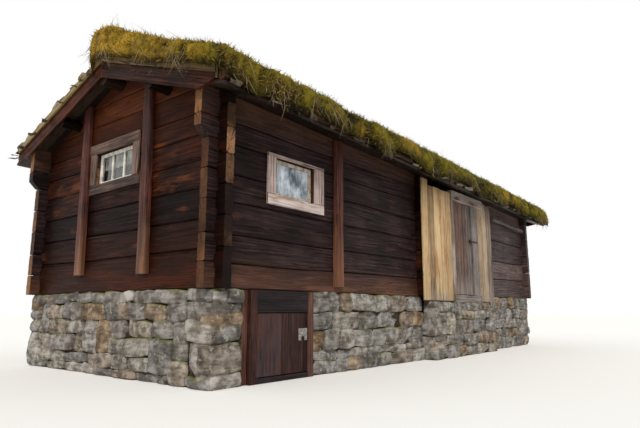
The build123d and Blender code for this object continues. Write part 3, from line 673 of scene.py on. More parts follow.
def timber(name, nodes, look, cuts, slot, edge, wear, ragged, seed, fibre=None, sway=0.0, second=None):
    """Weathers timbers: worn arrises, faces hollowed by up to the wear, and ragged ends.

    Each timber gets its own tone, its fibre direction (its longest edge, unless given) and a mark on
    the faces that cut across the fibre. The joints between logs sway up and down, and second tells from
    a timber's middle how much of the material's second colours it has.
    """
    rng = random.Random(seed)
    bm = solid(*nodes)
    along = bm.verts.layers.float_vector.new("along")
    for part in loose_parts(bm):
        edges = {e for vert in part for e in vert.link_edges}
        longest = max(edges, key=lambda e: round(e.calc_length(), 5))
        way = fibre or (longest.verts[1].co - longest.verts[0].co).normalized()
        for vert in part:
            vert[along] = way
    if edge:
        sharp = [e for e in bm.edges if e.is_manifold and e.calc_face_angle() > SHARP]
        bmesh.ops.bevel(
            bm, geom=sharp, offset=edge, segments=1, profile=0.5, affect="EDGES", clamp_overlap=True
        )
    sliced(bm, cuts)
    bm.normal_update()
    grain = bm.verts.layers.float_vector.new("grain")
    tone = bm.verts.layers.float.new("tone")
    sawn = bm.faces.layers.float.new("sawn")
    other = bm.verts.layers.float.new("second")
    foot, head = min(v.co.z for v in bm.verts), max(v.co.z for v in bm.verts)
    for part in loose_parts(bm):
        way = max((vert[along] for vert in part), key=lambda v: v.length).normalized()
        side = AXES[Z] if abs(way.z) < 0.8 else AXES[Y]
        side = (side - way * side.dot(way)).normalized()
        third = way.cross(side)
        middle = sum((vert.co for vert in part), Vector()) / len(part)
        share = second(middle) if second else 0.0
        middle = middle + side * rng.uniform(-0.02, 0.02) + third * rng.uniform(-0.015, 0.015)
        own, start, drift = rng.random(), rng.uniform(0, 60), Vector([rng.uniform(0, 40) for _ in AXES])
        for vert in part:
            rel = vert.co - middle
            vert[grain] = (rel.dot(way) + start, rel.dot(side), rel.dot(third))
            vert[tone] = own
            vert[other] = share
        moves = []
        for vert in part:
            flat = vert.co + drift
            hollow = 0.5 + 0.5 * noise.noise(flat * 3.1) + 0.25 * noise.noise(flat * 11.0)
            shift = vert.normal * (-wear * hollow)
            if ragged and abs(vert.normal.dot(way)) > 0.5:
                bite = 0.5 + 0.5 * noise.noise((vert.co - way * vert.co.dot(way)) * 37.0 + drift)
                shift -= way * (vert.normal.dot(way) > 0 or -1) * ragged * bite
            held = min(1.0, (vert.co.z - foot) / STILL, (head - vert.co.z) / STILL)
            shift.z += sway * held * noise.noise(Vector((vert.co.x * 0.8, vert.co.y * 0.8, vert.co.z * 2.2)))
            moves.append((vert, shift))
        for vert, shift in moves:
            vert.co += shift
    for face in bm.faces:
        face[sawn] = float(abs(face.normal.dot(face.verts[0][along])) > 0.75)
        face.smooth = True
    for e in bm.edges:
        e.smooth = not e.is_manifold or e.calc_face_angle() < radians(32)
    bm.verts.layers.float_vector.remove(bm.verts.layers.float_vector["along"])
    return piece(name, closed(bm, name), wooden(look), nodes, slot)


def geometry_tree(name, **inputs):
    """A geometry node tree with named inputs; gives the tree, its inputs and its output node."""
    kinds = {float: "NodeSocketFloat", bpy.types.Material: "NodeSocketMaterial"}
    tree = bpy.data.node_groups.new(name, "GeometryNodeTree")
    for end in ("OUTPUT", "INPUT"):
        tree.interface.new_socket("Geometry", in_out=end, socket_type="NodeSocketGeometry")
    for label, value in inputs.items():
        label, kind = label.replace("_", " "), kinds[type(value)]
        tree.interface.new_socket(label, in_out="INPUT", socket_type=kind).default_value = value
    return tree, node(tree, "NodeGroupInput").outputs, node(tree, "NodeGroupOutput")


def grown(mesh, tree, **values):
    """Runs a geometry node tree over a mesh and gives the result as plain mesh data."""
    source = put("source", mesh)
    modifier = source.modifiers.new("growth", "NODES")
    modifier.node_group = tree
    for item in tree.interface.items_tree:
        if item.in_out == "INPUT" and item.name.replace(" ", "_") in values:
            modifier[item.identifier] = values[item.name.replace(" ", "_")]
    return evaluated(source, modifier)


def laid(tree, rows, **values):
    """One stone or scrap for each (place, size, turn, tone)."""
    points, *layers = map(list, zip(*rows))
    mesh = bpy.data.meshes.new("points")
    mesh.from_pydata(points, [], [])
    for name, vectors_of in zip(("size", "turn"), layers):
        flat = [x for vector in vectors_of for x in vector]
        mesh.attributes.new(name, "FLOAT_VECTOR", "POINT").data.foreach_set("vector", flat)
    add_layer(mesh, "tone", layers[-1])
    return grown(mesh, tree, **values)


def stored(tree, geometry, name, value, domain="POINT"):
    inputs = {"Geometry": geometry, "Name": name, "Value": value}
    return node(tree, "GeometryNodeStoreNamedAttribute", inputs, domain=domain).outputs["Geometry"]


def named(tree, name, kind="FLOAT"):
    return node(tree, "GeometryNodeInputNamedAttribute", {"Name": name}, data_type=kind).outputs["Attribute"]


def vertex_place(tree):
    return node(tree, "GeometryNodeInputPosition").outputs[0]


def moved(tree, geometry, **how):
    """Vertices moved to a Position or by an Offset."""
    return node(tree, "GeometryNodeSetPosition", {"Geometry": geometry, **how}).outputs[0]


def rotation(tree, angles):
    return node(tree, "FunctionNodeEulerToRotation", {0: angles}).outputs[0]


def chance(tree, low, high, seed):
    """A random number for each point."""
    inputs = {2: low, 3: high, "Seed": seed}
    return node(tree, "FunctionNodeRandomValue", inputs, data_type="FLOAT").outputs[1]


def set_out(tree, points, shape, turn, size):
    inputs = {"Points": points, "Instance": shape, "Rotation": turn, "Scale": size}
    return node(tree, "GeometryNodeInstanceOnPoints", inputs).outputs[0]


def realized(tree, geometry):
    return node(tree, "GeometryNodeRealizeInstances", {0: geometry}).outputs[0]


def on_points(tree, given, shape):
    """The shape on each point that is given, of the point's size and turn."""
    turn = rotation(tree, named(tree, "turn", "FLOAT_VECTOR"))
    return realized(tree, set_out(tree, given["Geometry"], shape, turn, named(tree, "size", "FLOAT_VECTOR")))


def cloudy(tree, **inputs):
    """Cloudy noise in three directions, to both sides of nothing."""
    cloud = node(tree, "ShaderNodeTexNoise", {"Detail": 3.0, **inputs}).outputs["Color"]
    return vectors(tree, "SUBTRACT", cloud, (0.5, 0.5, 0.5))


def ended(tree, geometry, given, out):
    """Every tree's last steps: real geometry in the given material."""
    inputs = {"Geometry": realized(tree, geometry), "Material": given["Material"]}
    tree.links.new(node(tree, "GeometryNodeSetMaterial", inputs).outputs[0], out.inputs[0])


def stones_tree(material):
    """One stone on each point, of the point's size and turn: a box with worn edges, then made lumpy."""
    tree, given, out = geometry_tree("Dry stones", Edge_Wear=0.42, Lumps=0.018, Material=material)
    inputs = {"Size": (1, 1, 1), "Vertices X": 6, "Vertices Y": 4, "Vertices Z": 6}
    box = node(tree, "GeometryNodeMeshCube", inputs).outputs["Mesh"]
    at = vertex_place(tree)
    size = scaled(tree, vectors(tree, "ABSOLUTE", at), (1.42, 2.45, 1.42))
    square = scaled(tree, vectors(tree, "MINIMUM", size, (0.5, 0.5, 0.5)), vectors(tree, "SIGN", at))
    ball = scaled(tree, vectors(tree, "NORMALIZE", square), (0.64, 0.64, 0.64))
    stone = moved(tree, box, Position=between(tree, given["Edge Wear"], square, ball))
    inputs = {0: cloudy(tree, Scale=6.0, Roughness=0.6), "Scale": given["Lumps"]}
    push = node(tree, "ShaderNodeVectorMath", inputs, operation="SCALE").outputs[0]
    lumpy = moved(tree, on_points(tree, given, stone), Offset=scaled(tree, push, (4.0, 4.0, 3.0)))
    ended(tree, node(tree, "GeometryNodeSetShadeSmooth", {0: lumpy}).outputs[0], given, out)
    return tree


def blades_tree(name, material, seed, steps, aim):
    """Blades over a surface: each tapers and bends, turns part of the way to the aim, leans at random and
    has its own tone."""
    tree, given, out = geometry_tree(
        name, Density=100.0, Length=0.1, Width=0.004, Bend=0.3, Lean=0.5, Follow_Aim=0.5, Material=material
    )
    strip = node(tree, "GeometryNodeMeshGrid", {0: 1.0, 1: 1.0, 2: 2, 3: steps}).outputs["Mesh"]
    at = vertex_place(tree)
    up = plus(tree, split(tree, at, Y), 0.5)
    taper = minus(tree, 1.0, times(tree, up, up, 0.9))
    across = times(tree, split(tree, at, X), given["Width"], taper)
    sway = times(tree, up, up, given["Bend"], given["Length"])
    blade = moved(tree, strip, Position=combined(tree, across, sway, times(tree, up, given["Length"])))
    blade = stored(tree, blade, "tip", up)

    inputs = {"Mesh": given["Geometry"], "Density": times(tree, given["Density"], named(tree, "cover"))}
    spread = node(tree, "GeometryNodeDistributePointsOnFaces", {**inputs, "Seed": seed})
    inputs = {"Factor": 1.0, "Vector": between(tree, given["Follow Aim"], spread.outputs["Normal"], aim)}
    stand = node(tree, "FunctionNodeAlignRotationToVector", inputs, axis="Z").outputs[0]
    lean, back = given["Lean"], times(tree, given["Lean"], -1.0)
    inputs = {0: combined(tree, back, back, 0.0), 1: combined(tree, lean, lean, 2 * pi), "Seed": seed + 1}
    spin = node(tree, "FunctionNodeRandomValue", inputs, data_type="FLOAT_VECTOR").outputs[0]
    inputs = {0: stand, 1: rotation(tree, spin)}
    turned = node(tree, "FunctionNodeRotateRotation", inputs, rotation_space="LOCAL").outputs[0]
    standing = set_out(tree, spread.outputs["Points"], blade, turned, chance(tree, 0.45, 1.25, seed + 2))
    tint = chance(tree, 0.0, 1.0, seed + 3)
    ended(tree, stored(tree, standing, "tone", tint, "INSTANCE"), given, out)
    return tree


def flakes_tree(material):
    """A curled scrap of bark on each point, of the point's size and turn, with torn edges."""
    tree, given, out = geometry_tree("Bark scraps", Curl=0.35, Material=material)
    sheet = node(tree, "GeometryNodeMeshGrid", {0: 1.0, 1: 1.0, 2: 5, 3: 4}).outputs["Mesh"]
    at = vertex_place(tree)
    along, across = split(tree, at, X), split(tree, at, Y)
    roll = times(tree, across, across, given["Curl"])
    bent = moved(tree, sheet, Position=combined(tree, along, across, roll))
    torn = scaled(tree, cloudy(tree, Scale=14.0), (0.13, 0.07, 0.07))
    ended(tree, moved(tree, on_points(tree, given, bent), Offset=torn), given, out)
    return tree


class CabinTimber(bpy.types.PropertyGroup):
    """Sizes of the wear on logs and boards."""

    log_wear: FloatProperty(
        name="Log wear", description="Depth of the hollows in the logs", default=0.009, unit="LENGTH"
    )
    log_cut: FloatProperty(
        name="Log detail", description="Between the lines that shape a log", default=0.085, unit="LENGTH"
    )
    board_wear: FloatProperty(
        name="Board wear", description="Depth of the hollows in the boards", default=0.003, unit="LENGTH"
    )
    board_ragged: FloatProperty(
        name="Ragged ends", description="How uneven the ends of boards are", default=0.012, unit="LENGTH"
    )


class CabinStones(bpy.types.PropertyGroup):
    """Sizes of the stones in the base."""

    course_low: FloatProperty(name="Thinnest course", description="Height", default=0.075, unit="LENGTH")
    course_high: FloatProperty(name="Thickest course", description="Height", default=0.25, unit="LENGTH")
    stone_short: FloatProperty(name="Shortest stone", description="Length", default=0.2, unit="LENGTH")
    stone_long: FloatProperty(name="Longest stone", description="Length", default=0.66, unit="LENGTH")
    depth: FloatProperty(name="Depth", description="How deep stones sit", default=0.24, unit="LENGTH")
    jut: FloatProperty(name="Jut", description="How unevenly they stand out", default=0.035, unit="LENGTH")
    lumps: FloatProperty(name="Lumps", description="Unevenness of a stone", default=0.026, unit="LENGTH")


class CabinTurf(bpy.types.PropertyGroup):
    """Sizes of the turf roof."""

    voxel: FloatProperty(name="Detail", description="Mesh size of the turf", default=0.036, unit="LENGTH")
    mounds: FloatProperty(name="Mounds", description="Height of the mounds", default=0.055, unit="LENGTH")
    drape: FloatProperty(name="Drape", description="How far moss hangs over", default=0.36, unit="LENGTH")
    frond: FloatProperty(name="Moss stems", description="Length of a stem", default=0.045, unit="LENGTH")
    grass: FloatProperty(name="Grass", description="Length of a blade", default=0.13, unit="LENGTH")
    roots: FloatProperty(name="Roots", description="Length of a hanging root", default=0.18, unit="LENGTH")
    bark: FloatProperty(name="Bark", description="Distance between scraps", default=0.28, unit="LENGTH")


class CABIN_OT_logs(bpy.types.Operator):
    """Weathered logs of every wall"""

    bl_idname = "cabin.logs"
    bl_label = "Log walls"

    def execute(self, context):
        size = context.scene.cabin_timber
        walls = {
            "front_wall": "tarred_logs",
            "near_gable_wall": "red_logs",
            "back_wall": "tarred_logs",
            "main_cross_wall": "cross_logs",
            "far_front_wall": "plum_logs",
            "far_cross_wall": "plum_logs",
            "far_gable_wall": "plum_logs",
        }
        for seed, (wall, look) in enumerate(walls.items()):
            low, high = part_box(wall)
            run = X if high.x - low.x > high.y - low.y else Y
            cuts = {run: size.log_cut, Z: size.log_cut / 2}
            slot = "red_log" if wall == "near_gable_wall" else "dark_log"
            timber(wall + "_logs", [wall], look, cuts, slot, 0, size.log_wear, 0.006, seed, AXES[run], 0.022)
        return {"FINISHED"}


class CABIN_OT_windows(bpy.types.Operator):
    """Casings, sashes and panes of both windows"""

    bl_idname = "cabin.windows"
    bl_label = "Windows"

    def execute(self, context):
        wear = context.scene.cabin_timber.board_wear
        old_paint("Weathered sash paint", "#8b7b6c", "#c9bcab", 0.6)
        old_paint("White sash paint", "#b9b3a8", "#e6e2d9", 0.66)
        # The limy pane's dark blue-grey to pale blue clouds are partly dust and lime, partly a painted
        # reflection of the sky
        lime_and_painted_sky = window_glass("Limy glass with painted sky", ("#434c55", "#aab9c6", "#f4f7fa"), 0.25)
        clear = window_glass("Clear window glass", ("#c5cbca", "#d9dddc", "#eceeee"), 1.0)
        looks = (
            ("front", X, "front_casing", "Weathered sash paint", lime_and_painted_sky),
            ("gable", Y, "gable_casing", "White sash paint", clear),
        )
        for side, run, boards, paint, glass in looks:
            casing, sash = f"{side}_window_casing", f"{side}_window_sash"
            cuts = {run: 0.06, Z: 0.06}
            timber(casing + "_boards", [casing], boards, cuts, "grey_wood", 0.003, wear, 0.006, 21 + run)
            cuts = {run: 0.1, Z: 0.1}
            timber(sash + "_frame", [sash], paint, cuts, "white_paint", 0.002, 0.001, 0, 31 + run)
            frame["nodes"][f"{side}_window_glass"].material_slots[0].material = glass
        self.curtain()
        return {"FINISHED"}

    def curtain(self):
        """A short curtain of thin cotton gathered behind the upper part of the gable panes."""
        low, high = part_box("gable_window_glass")
        drop, across, down = 0.19, 60, 8
        top, behind, short = high.z - 0.002, high.x + 0.022, 0.02
        points, faces = [], []
        for i in range(across + 1):
            for j in range(down + 1):
                y = low.y + short + (high.y - low.y - 2 * short) * i / across
                crease = 0.003 * noise.noise(Vector((i * 0.3, j, 0)))
                fold = 0.007 * sin(i * 0.95) * (0.4 + 0.6 * j / down) + crease
                hem = 0.012 * noise.noise(Vector((i * 0.16, 0, 3))) * j / down
                points.append((behind + fold, y, top - drop * j / down - hem))
        for i in range(across):
            for j in range(down):
                at = i * (down + 1) + j
                faces.append((at, at + down + 1, at + down + 2, at + 1))
        mesh = bpy.data.meshes.new("curtain")
        mesh.from_pydata(points, [], faces)
        mesh.shade_smooth()
        made = piece("gable_curtain", mesh, cotton("Faded cotton"), body="cabin")


class CABIN_OT_braces(bpy.types.Operator):
    """Posts against the walls and the pole under the far eave"""

    bl_idname = "cabin.braces"
    bl_label = "Braces and pole"

    def execute(self, context):
        look, slot = "hewn_braces", "brace_wood"
        timber("front_brace_post", ["front_brace"], look, {Z: 0.08}, slot, 0, 0.006, 0.01, 41)
        timber("gable_brace_posts", ["gable_braces"], look, {Y: 0.04, Z: 0.08}, slot, 0.005, 0.006, 0.01, 42)
        timber("eave_pole_round", ["eave_pole"], "pole_wood", {X: 0.08}, "grey_wood", 0, 0.007, 0.02, 43)
        return {"FINISHED"}


class CABIN_OT_passage(bpy.types.Operator):
    """Boards, frame and rails of the passage"""

    bl_idname = "cabin.passage"
    bl_label = "Passage boards"

    def execute(self, context):
        size = context.scene.cabin_timber

        def greyed(middle):
            """All of the last boards on the right, and part of a few others."""
            return max(min(1.0, (middle.x - CORNER.x - 6.1) * 1.2), noise.noise(middle * 9.0))

        for seed, side in enumerate(("left", "right", "back"), 51):
            boards = f"passage_boards_{side}"
            timber(
                boards + "_worn", [boards], "straw_boards", {X: 0.05, Z: 0.09}, "straw_board",
                0.003, size.board_wear, size.board_ragged, seed, AXES[Z], second=greyed,
            )
        timber(
            "door_frame_worn", ["door_frame"], "silver_boards", {X: 0.08, Z: 0.09}, "grey_wood",
            0.005, size.board_wear, 0.006, 61,
        )
        timber(
            "passage_rails_worn", ["passage_rails"], "inner_rails", {X: 0.2}, "dark_log", 0.005, 0.004, 0, 62
        )
        return {"FINISHED"}


class CABIN_OT_doors(bpy.types.Operator):
    """The passage door, the cellar door and their iron"""

    bl_idname = "cabin.doors"
    bl_label = "Doors"

    def execute(self, context):
        wear = context.scene.cabin_timber.board_wear
        grey_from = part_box("door_leaf")[0].x + 0.5
        left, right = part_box("cellar_door_leaf")
        red_from = (left.x + right.x) / 2
        cuts, rough = {X: 0.06, Z: 0.09}, {X: 0.09, Z: 0.09}
        timber(
            "door_leaf_planks", ["door_leaf"], "door_planks", cuts, "door_wood",
            0.002, wear * 0.7, 0.003, 71, second=lambda middle: float(middle.x > grey_from),
        )
        timber(
            "cellar_leaf_planks", ["cellar_door_leaf"], "cellar_leaf", cuts, "cellar_wood",
            0.002, wear * 0.7, 0.003, 72, second=lambda middle: 0.7 * (middle.x > red_from),
        )
        timber(
            "cellar_frame_worn", ["cellar_frame"], "cellar_planks", rough, "cellar_wood",
            0.004, wear, 0.004, 73, second=lambda middle: 0.9 * (abs(middle.x - red_from) > 0.42),
        )
        hasp = rusty_iron("Zinc-grey hasp", "#6b6764", "#a8a29c", 0.4)
        latch = rusty_iron("Forged latch", "#2c2420", "#5b3a28", 0.6)
        frame["nodes"]["cellar_hasp"].material_slots[0].material = hasp
        frame["nodes"]["door_latch"].material_slots[0].material = latch
        self.loop_plate(hasp)
        return {"FINISHED"}

    def loop_plate(self, iron):
        """The hinged plate over the upper half of the hasp, with its two bolt heads."""
        low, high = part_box("cellar_hasp")
        middle = (low + high) / 2
        thick, inset, bolt = 0.004, 0.001, 0.008
        wide, tall = high.x - low.x - 0.004, (high.z - low.z) * 0.52
        centre = Vector((middle.x, low.y - thick / 2 + inset, high.z - tall / 2 - inset))
        plate = Matrix.LocRotScale(centre, None, (wide, thick, tall))
        made = bmesh.new()
        bmesh.ops.create_cube(made, size=1.0, matrix=plate)
        bmesh.ops.bevel(made, geom=made.edges[:], offset=0.0012, segments=2, affect="EDGES", profile=0.5)
        for side in (-0.3, 0.3):
            place = centre + Vector((side * wide, -thick / 2, 0))
            head = Matrix.LocRotScale(place, None, (bolt, bolt / 2, bolt))
            bmesh.ops.create_uvsphere(made, u_segments=16, v_segments=8, radius=1.0, matrix=head)
        piece("hasp_plate", closed(made, "hasp_plate"), iron, body="cellar_door")


class CABIN_OT_roof(bpy.types.Operator):
    """Deck, purlins, barge boards, eave logs and the floors"""

    bl_idname = "cabin.roof"
    bl_label = "Roof timber"

    def execute(self, context):
        for side in ("front", "back"):
            deck, cuts = f"roof_deck_{side}", {X: 0.2, Y: 0.2}
            timber(deck + "_boards", [deck], "roof_boards", cuts, "roof_wood", 0, 0.003, 0, 81, AXES[Y])
        for end, outer in (("near", NEAR_X), ("far", FAR_X)):
            boards = f"barge_boards_{end}"
            timber(
                boards + "_worn", [boards], "barge_boards", {Y: 0.07, Z: 0.09}, "barge_wood",
                0.004, 0.005, 0.015, 83, second=lambda middle: float(abs(middle.x - outer) < 0.035),
            )
        rest = (
            ("purlins_round", ["ridge_purlin", "side_purlins"], "roof_logs", 0.25, "roof_wood", 0.008, 85),
            ("eave_logs_round", ["eave_logs"], "eave_logs", 0.12, "roof_wood", 0.01, 86),
            ("floors_boarded", ["floors"], "floor_boards", 0.5, "floor_wood", 0.002, 87),
        )
        for name, nodes, look, cut, slot, wear, seed in rest:
            timber(name, nodes, look, {X: cut}, slot, 0, wear, 0, seed, AXES[X])
        return {"FINISHED"}


def runs():
    """The faces of the base that stones are laid along, counter-clockwise seen from above.

    Each is (node, where it starts, where it ends, height of its top).
    """
    kinds = ("near_gable", "front", "passage", "far_front", "far_gable", "back")
    gable, front, step, far, end, back = (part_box(f"base_{kind}") for kind in kinds)
    low, high, ledge = CORNER.z, far[1].z, CORNER.z - STEP_DROP
    inner, beyond = gable[0].y, 2 * RIDGE_Y - gable[0].y
    turn = gable[0].x + BASE_T
    return [
        ("base_near_gable", (gable[0].x, gable[1].y), (gable[0].x, inner), low),
        ("base_near_gable", (gable[0].x, inner), (gable[1].x, inner), low),
        ("base_near_gable", (turn, gable[1].y), (gable[0].x, gable[1].y), low),
        ("base_front", (front[0].x, front[0].y), (front[1].x, front[0].y), low),
        ("base_passage", (step[0].x, inner), (step[0].x, step[0].y), ledge),
        ("base_passage", (step[0].x, step[0].y), (step[1].x, step[0].y), ledge),
        ("base_passage", (step[1].x, step[0].y), (step[1].x, inner), ledge),
        ("base_passage", (step[1].x, beyond), (step[1].x, step[1].y), ledge),
        ("base_passage", (step[1].x, step[1].y), (step[0].x, step[1].y), ledge),
        ("base_passage", (step[0].x, step[1].y), (step[0].x, beyond), ledge),
        ("base_far_front", (far[0].x, far[0].y), (far[1].x, far[0].y), high),
        ("base_far_gable", (end[1].x, far[0].y), (end[1].x, back[1].y), high),
        ("base_back", (far[1].x, back[1].y), (step[1].x, back[1].y), high),
        ("base_back", (step[0].x, back[1].y), (turn, back[1].y), low),
    ]


def laid_stones(rng, start, end, top, size):
    """Stones along one face in courses that wander, some of them through two courses: their places,
    sizes, turns and tones."""
    start, end = Vector((*start, 0)), Vector((*end, 0))
    length = (end - start).length
    way = (end - start).normalized()
    out = Vector((way.y, -way.x, 0))
    heading = 0.0 if abs(way.x) > 0.5 else pi / 2
    levels = [0.0]
    while top - levels[-1] > size.course_high + size.course_low:
        levels.append(levels[-1] + rng.uniform(size.course_low, size.course_high))
    if top - levels[-1] > size.course_high:
        levels.append((top + levels[-1]) / 2)
    levels.append(top)
    drift = rng.uniform(0, 90)

    def level(row, x):
        held = row in (0, len(levels) - 1)
        return levels[row] + (0 if held else BED_WANDER * noise.noise(Vector((x * 1.1, row * 5.0, drift))))

    filled = []
    for row in range(len(levels) - 1):
        at, above = 0.0, []
        while at < length - 0.01:
            passed = [b for a, b in filled if a - 0.02 < at < b - 0.01]
            if passed:
                at = passed[0]
                continue
            room = min([a for a, b in filled if a > at], default=length) - at
            wide = rng.uniform(size.stone_short, size.stone_long)
            if room - wide < size.stone_short:
                wide = room if room < size.stone_long else room / 2
            tall = row + 2 < len(levels) and wide < TALL_LONGEST and rng.random() < TALL_SHARE
            if tall:
                above.append((at, at + wide))
            middle = at + wide / 2
            low, high = level(row, middle), level(row + 1 + tall, middle)
            depth = size.depth * rng.uniform(0.85, 1.1)
            place = start + way * middle + out * (rng.uniform(-size.jut, size.jut * 0.5) - depth / 2)
            yield (
                (place.x, place.y, (low + high) / 2),
                (wide * rng.uniform(1.0, 1.07), depth * 1.06, (high - low) * rng.uniform(1.0, 1.1)),
                (rng.uniform(-0.05, 0.05), rng.uniform(-0.08, 0.08), heading + rng.uniform(-0.09, 0.09)),
                rng.random(),
            )
            at += wide
        filled = above


class CABIN_OT_base(bpy.types.Operator):
    """Dry stones round a core of rubble"""

    bl_idname = "cabin.base"
    bl_label = "Stone base"

    def execute(self, context):
        size = context.scene.cabin_stones
        tree = stones_tree(fieldstone("Dry-laid schist"))
        # The core is painted dark as the shade deep in the joints between the stones
        rubble = shade_dark_earth("Rubble and soil in painted shade")
        faces = {}
        for name, *run in runs():
            faces.setdefault(name, []).append(run)
        for seed, (name, around) in enumerate(faces.items(), 100):
            rng = random.Random(seed)
            stones = [stone for run in around for stone in laid_stones(rng, *run, size)]
            mesh = laid(tree, stones, Lumps=size.lumps)
            for vert in mesh.vertices:
                vert.co.z = max(vert.co.z, 0.0)
            piece(name + "_stones", mesh, None, [name], "stone")
            self.core(name, rubble)
        self.core("base_cross_walls", rubble)
        return {"FINISHED"}

    def core(self, name, material):
        """The solid a little smaller on every side but the foot."""
        bm = solid(name)
        bm.normal_update()
        moves = [(v, sum((f.normal for f in v.link_faces), Vector())) for v in bm.verts]
        for vert, push in moves:
            vert.co -= Vector([max(-1, min(1, x)) for x in push]) * RUBBLE_IN
            vert.co.z = 0 if vert.co.z < 0.1 else vert.co.z
        piece(name + "_core", closed(bm, name + "_core"), material, [name], "stone")


class CABIN_OT_turf(bpy.types.Operator):
    """Moss mounds, moss stems, dry grass, hanging roots and bark on the roof"""

    bl_idname = "cabin.turf"
    bl_label = "Turf"

    def execute(self, context):
        size = context.scene.cabin_turf
        moss = cushion_moss("Feather moss")
        green = (0.1, "#191706"), (0.4, "#434010"), (0.7, "#736e1b"), (1.0, "#a89937")
        golden = (0.1, "#2a1d0a"), (0.4, "#6d5417"), (0.7, "#a5842a"), (1.0, "#d3b35c")
        stems = leafy("Moss stems", green, golden)
        straw = leafy("Dry grass", ((0.1, "#57521f"), (0.4, "#8f7f3d"), (0.7, "#bca66a"), (1.0, "#dccb9c")))
        roots = leafy("Hanging roots", ((0.1, "#3b2c1c"), (0.5, "#7a664b"), (1.0, "#bfae8d")))
        for seed, side in enumerate(("front", "back")):
            crown = self.mounds(side, size)
            piece(f"turf_crown_{side}", crown, moss, [f"turf_{side}"], "turf")
            self.growth(
                crown, "stems", f"moss_stems_{side}", stems, 91 + seed,
                Density=850.0, Length=size.frond, Width=0.008, Bend=0.6, Lean=0.7, Follow_Aim=0.3,
            )
            self.growth(
                crown, "blades", f"dry_grass_{side}", straw, 101 + seed, steps=6,
                Density=700.0, Length=size.grass, Width=0.005, Bend=1.1, Lean=0.7, Follow_Aim=0.75,
            )
            self.growth(
                crown, "fringe", f"hanging_roots_{side}", roots, 111 + seed, steps=7, aim=(0.0, 0.0, -1.0),
                Density=900.0, Length=size.roots, Width=0.005, Bend=0.5, Lean=0.45, Follow_Aim=0.88,
            )
        self.growth(
            self.mossy_logs(), "tufts", "eave_moss", stems, 131,
            Density=3200.0, Length=size.frond, Width=0.009, Bend=0.6, Lean=0.7, Follow_Aim=0.2,
        )
        self.bark(size)
        self.weights()
        return {"FINISHED"}

    def mounds(self, side, size):
        """The turf of one slope, remeshed evenly, heaped into mounds and draped over its edges."""
        source = put("block", closed(solid(f"turf_{side}"), "block"))
        remesh = source.modifiers.new("even", "REMESH")
        remesh.mode, remesh.voxel_size = "VOXEL", size.voxel
        crown = evaluated(source, remesh)
        low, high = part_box(f"turf_{side}")
        eave = low.y if side == "front" else high.y
        reach = RIDGE_Y - deck_low.y  # of the deck from the ridge
        tucked, hollow = -0.015, -0.0149  # lift of turf behind the boards, and where stems end
        most = 0.85  # of its height is taken off the back verge
        layers = {name: [] for name in ("high", "gold", "stems", "blades", "fringe")}
        normals = [Vector(v.normal) for v in crown.vertices]
        for vert, normal in zip(crown.vertices, normals):
            p = vert.co.copy()
            from_eave, from_near, from_far = abs(eave - p.y), p.x - low.x, high.x - p.x
            from_ridge = abs(p.y - RIDGE_Y)
            over = p.z - deck_top(p.x, p.y)
            bare = side == "back" and from_near < 0.45 and from_ridge > 0.25

            billow = 1 - 2.4 * abs(noise.noise(p * 2.6 + Vector((3, 1, 8))))
            tuft = 1 - 2.4 * abs(noise.noise(p * 7.5 + Vector((5, 5, 0))))
            fine = noise.noise(p * 21.0)
            lift = size.mounds * (0.55 * billow + 0.3 * tuft + 0.22 * fine)
            air = eased(normal.z + 1.1)
            framed = NEAR_X - 0.01 < p.x < FAR_X + 0.01 and from_ridge < reach + 0.01
            if framed and over < 0.17 and normal.z < 0.4:
                lift, air = tucked, 1.0
            at_ridge = 1 - eased((from_ridge - 0.02) / 0.1)
            vert.co = p + normal * (lift * air) * (1 - at_ridge)
            vert.co.z += lift * at_ridge * (normal.z > 0)
            vert.co.z = min(vert.co.z, high.z + 0.015)
            if side == "back":
                thin = eased((from_ridge - 0.05) / 0.3) * (1 - eased((from_near - 0.15) / 0.35)) * most
                vert.co.z -= max(0.0, over) * thin
                vert.co.x += max(0.0, NEAR_X + 0.1 - vert.co.x) * thin / most

            past = eased(max(NEAR_X - p.x, p.x - FAR_X) / 0.05)
            beyond = max(eased((from_ridge - reach) / 0.05), 0.25 * past)
            loose = beyond * (1 - eased((over - 0.02) / 0.28))
            lobe = 0.3 + 0.7 * eased(0.5 + 1.6 * noise.noise(Vector((p.x * 2.1, p.y * 2.1, 7.0))))
            vert.co.z -= size.drape * loose * lobe * (0.0 if bare else 1.0)

            # Mound height, by which the moss is painted lighter on the tops and darker in the hollows:
            # painted light and shade
            layers["high"].append(0.45 + 0.3 * billow + 0.25 * tuft + 0.2 * fine)
            layers["gold"].append(0.34 * (1 - eased(from_near / 2.8)) * (1 - eased(from_ridge / 2.4)))
            sparse = 0.35 * (noise.noise(p * 3.0) > 0.1) if bare else 1.0
            layers["stems"].append(sparse * (0.0 if lift < hollow else 1.0 if normal.z > -0.4 else 0.15))
            tufts = max(0.0, noise.noise(p * 1.6 + Vector((9, 9, 9))) + 0.2)
            crest = max(0.0, 1 - from_ridge / 0.7)
            grassy = from_eave > 0.2 and not bare
            layers["blades"].append((crest * 1.3 + 0.12) * tufts if grassy else 0.0)
            rim = min(from_eave, from_near, from_far)
            patch = max(0.0, noise.noise(Vector((p.x * 2.9, p.y * 2.9, 31.0))) + 0.24)
            layers["fringe"].append(patch * (rim < 0.16) * (abs(normal.z) < 0.75) * (not bare))
        for name, values in layers.items():
            add_layer(crown, name, values)
        crown.shade_smooth()
        return crown

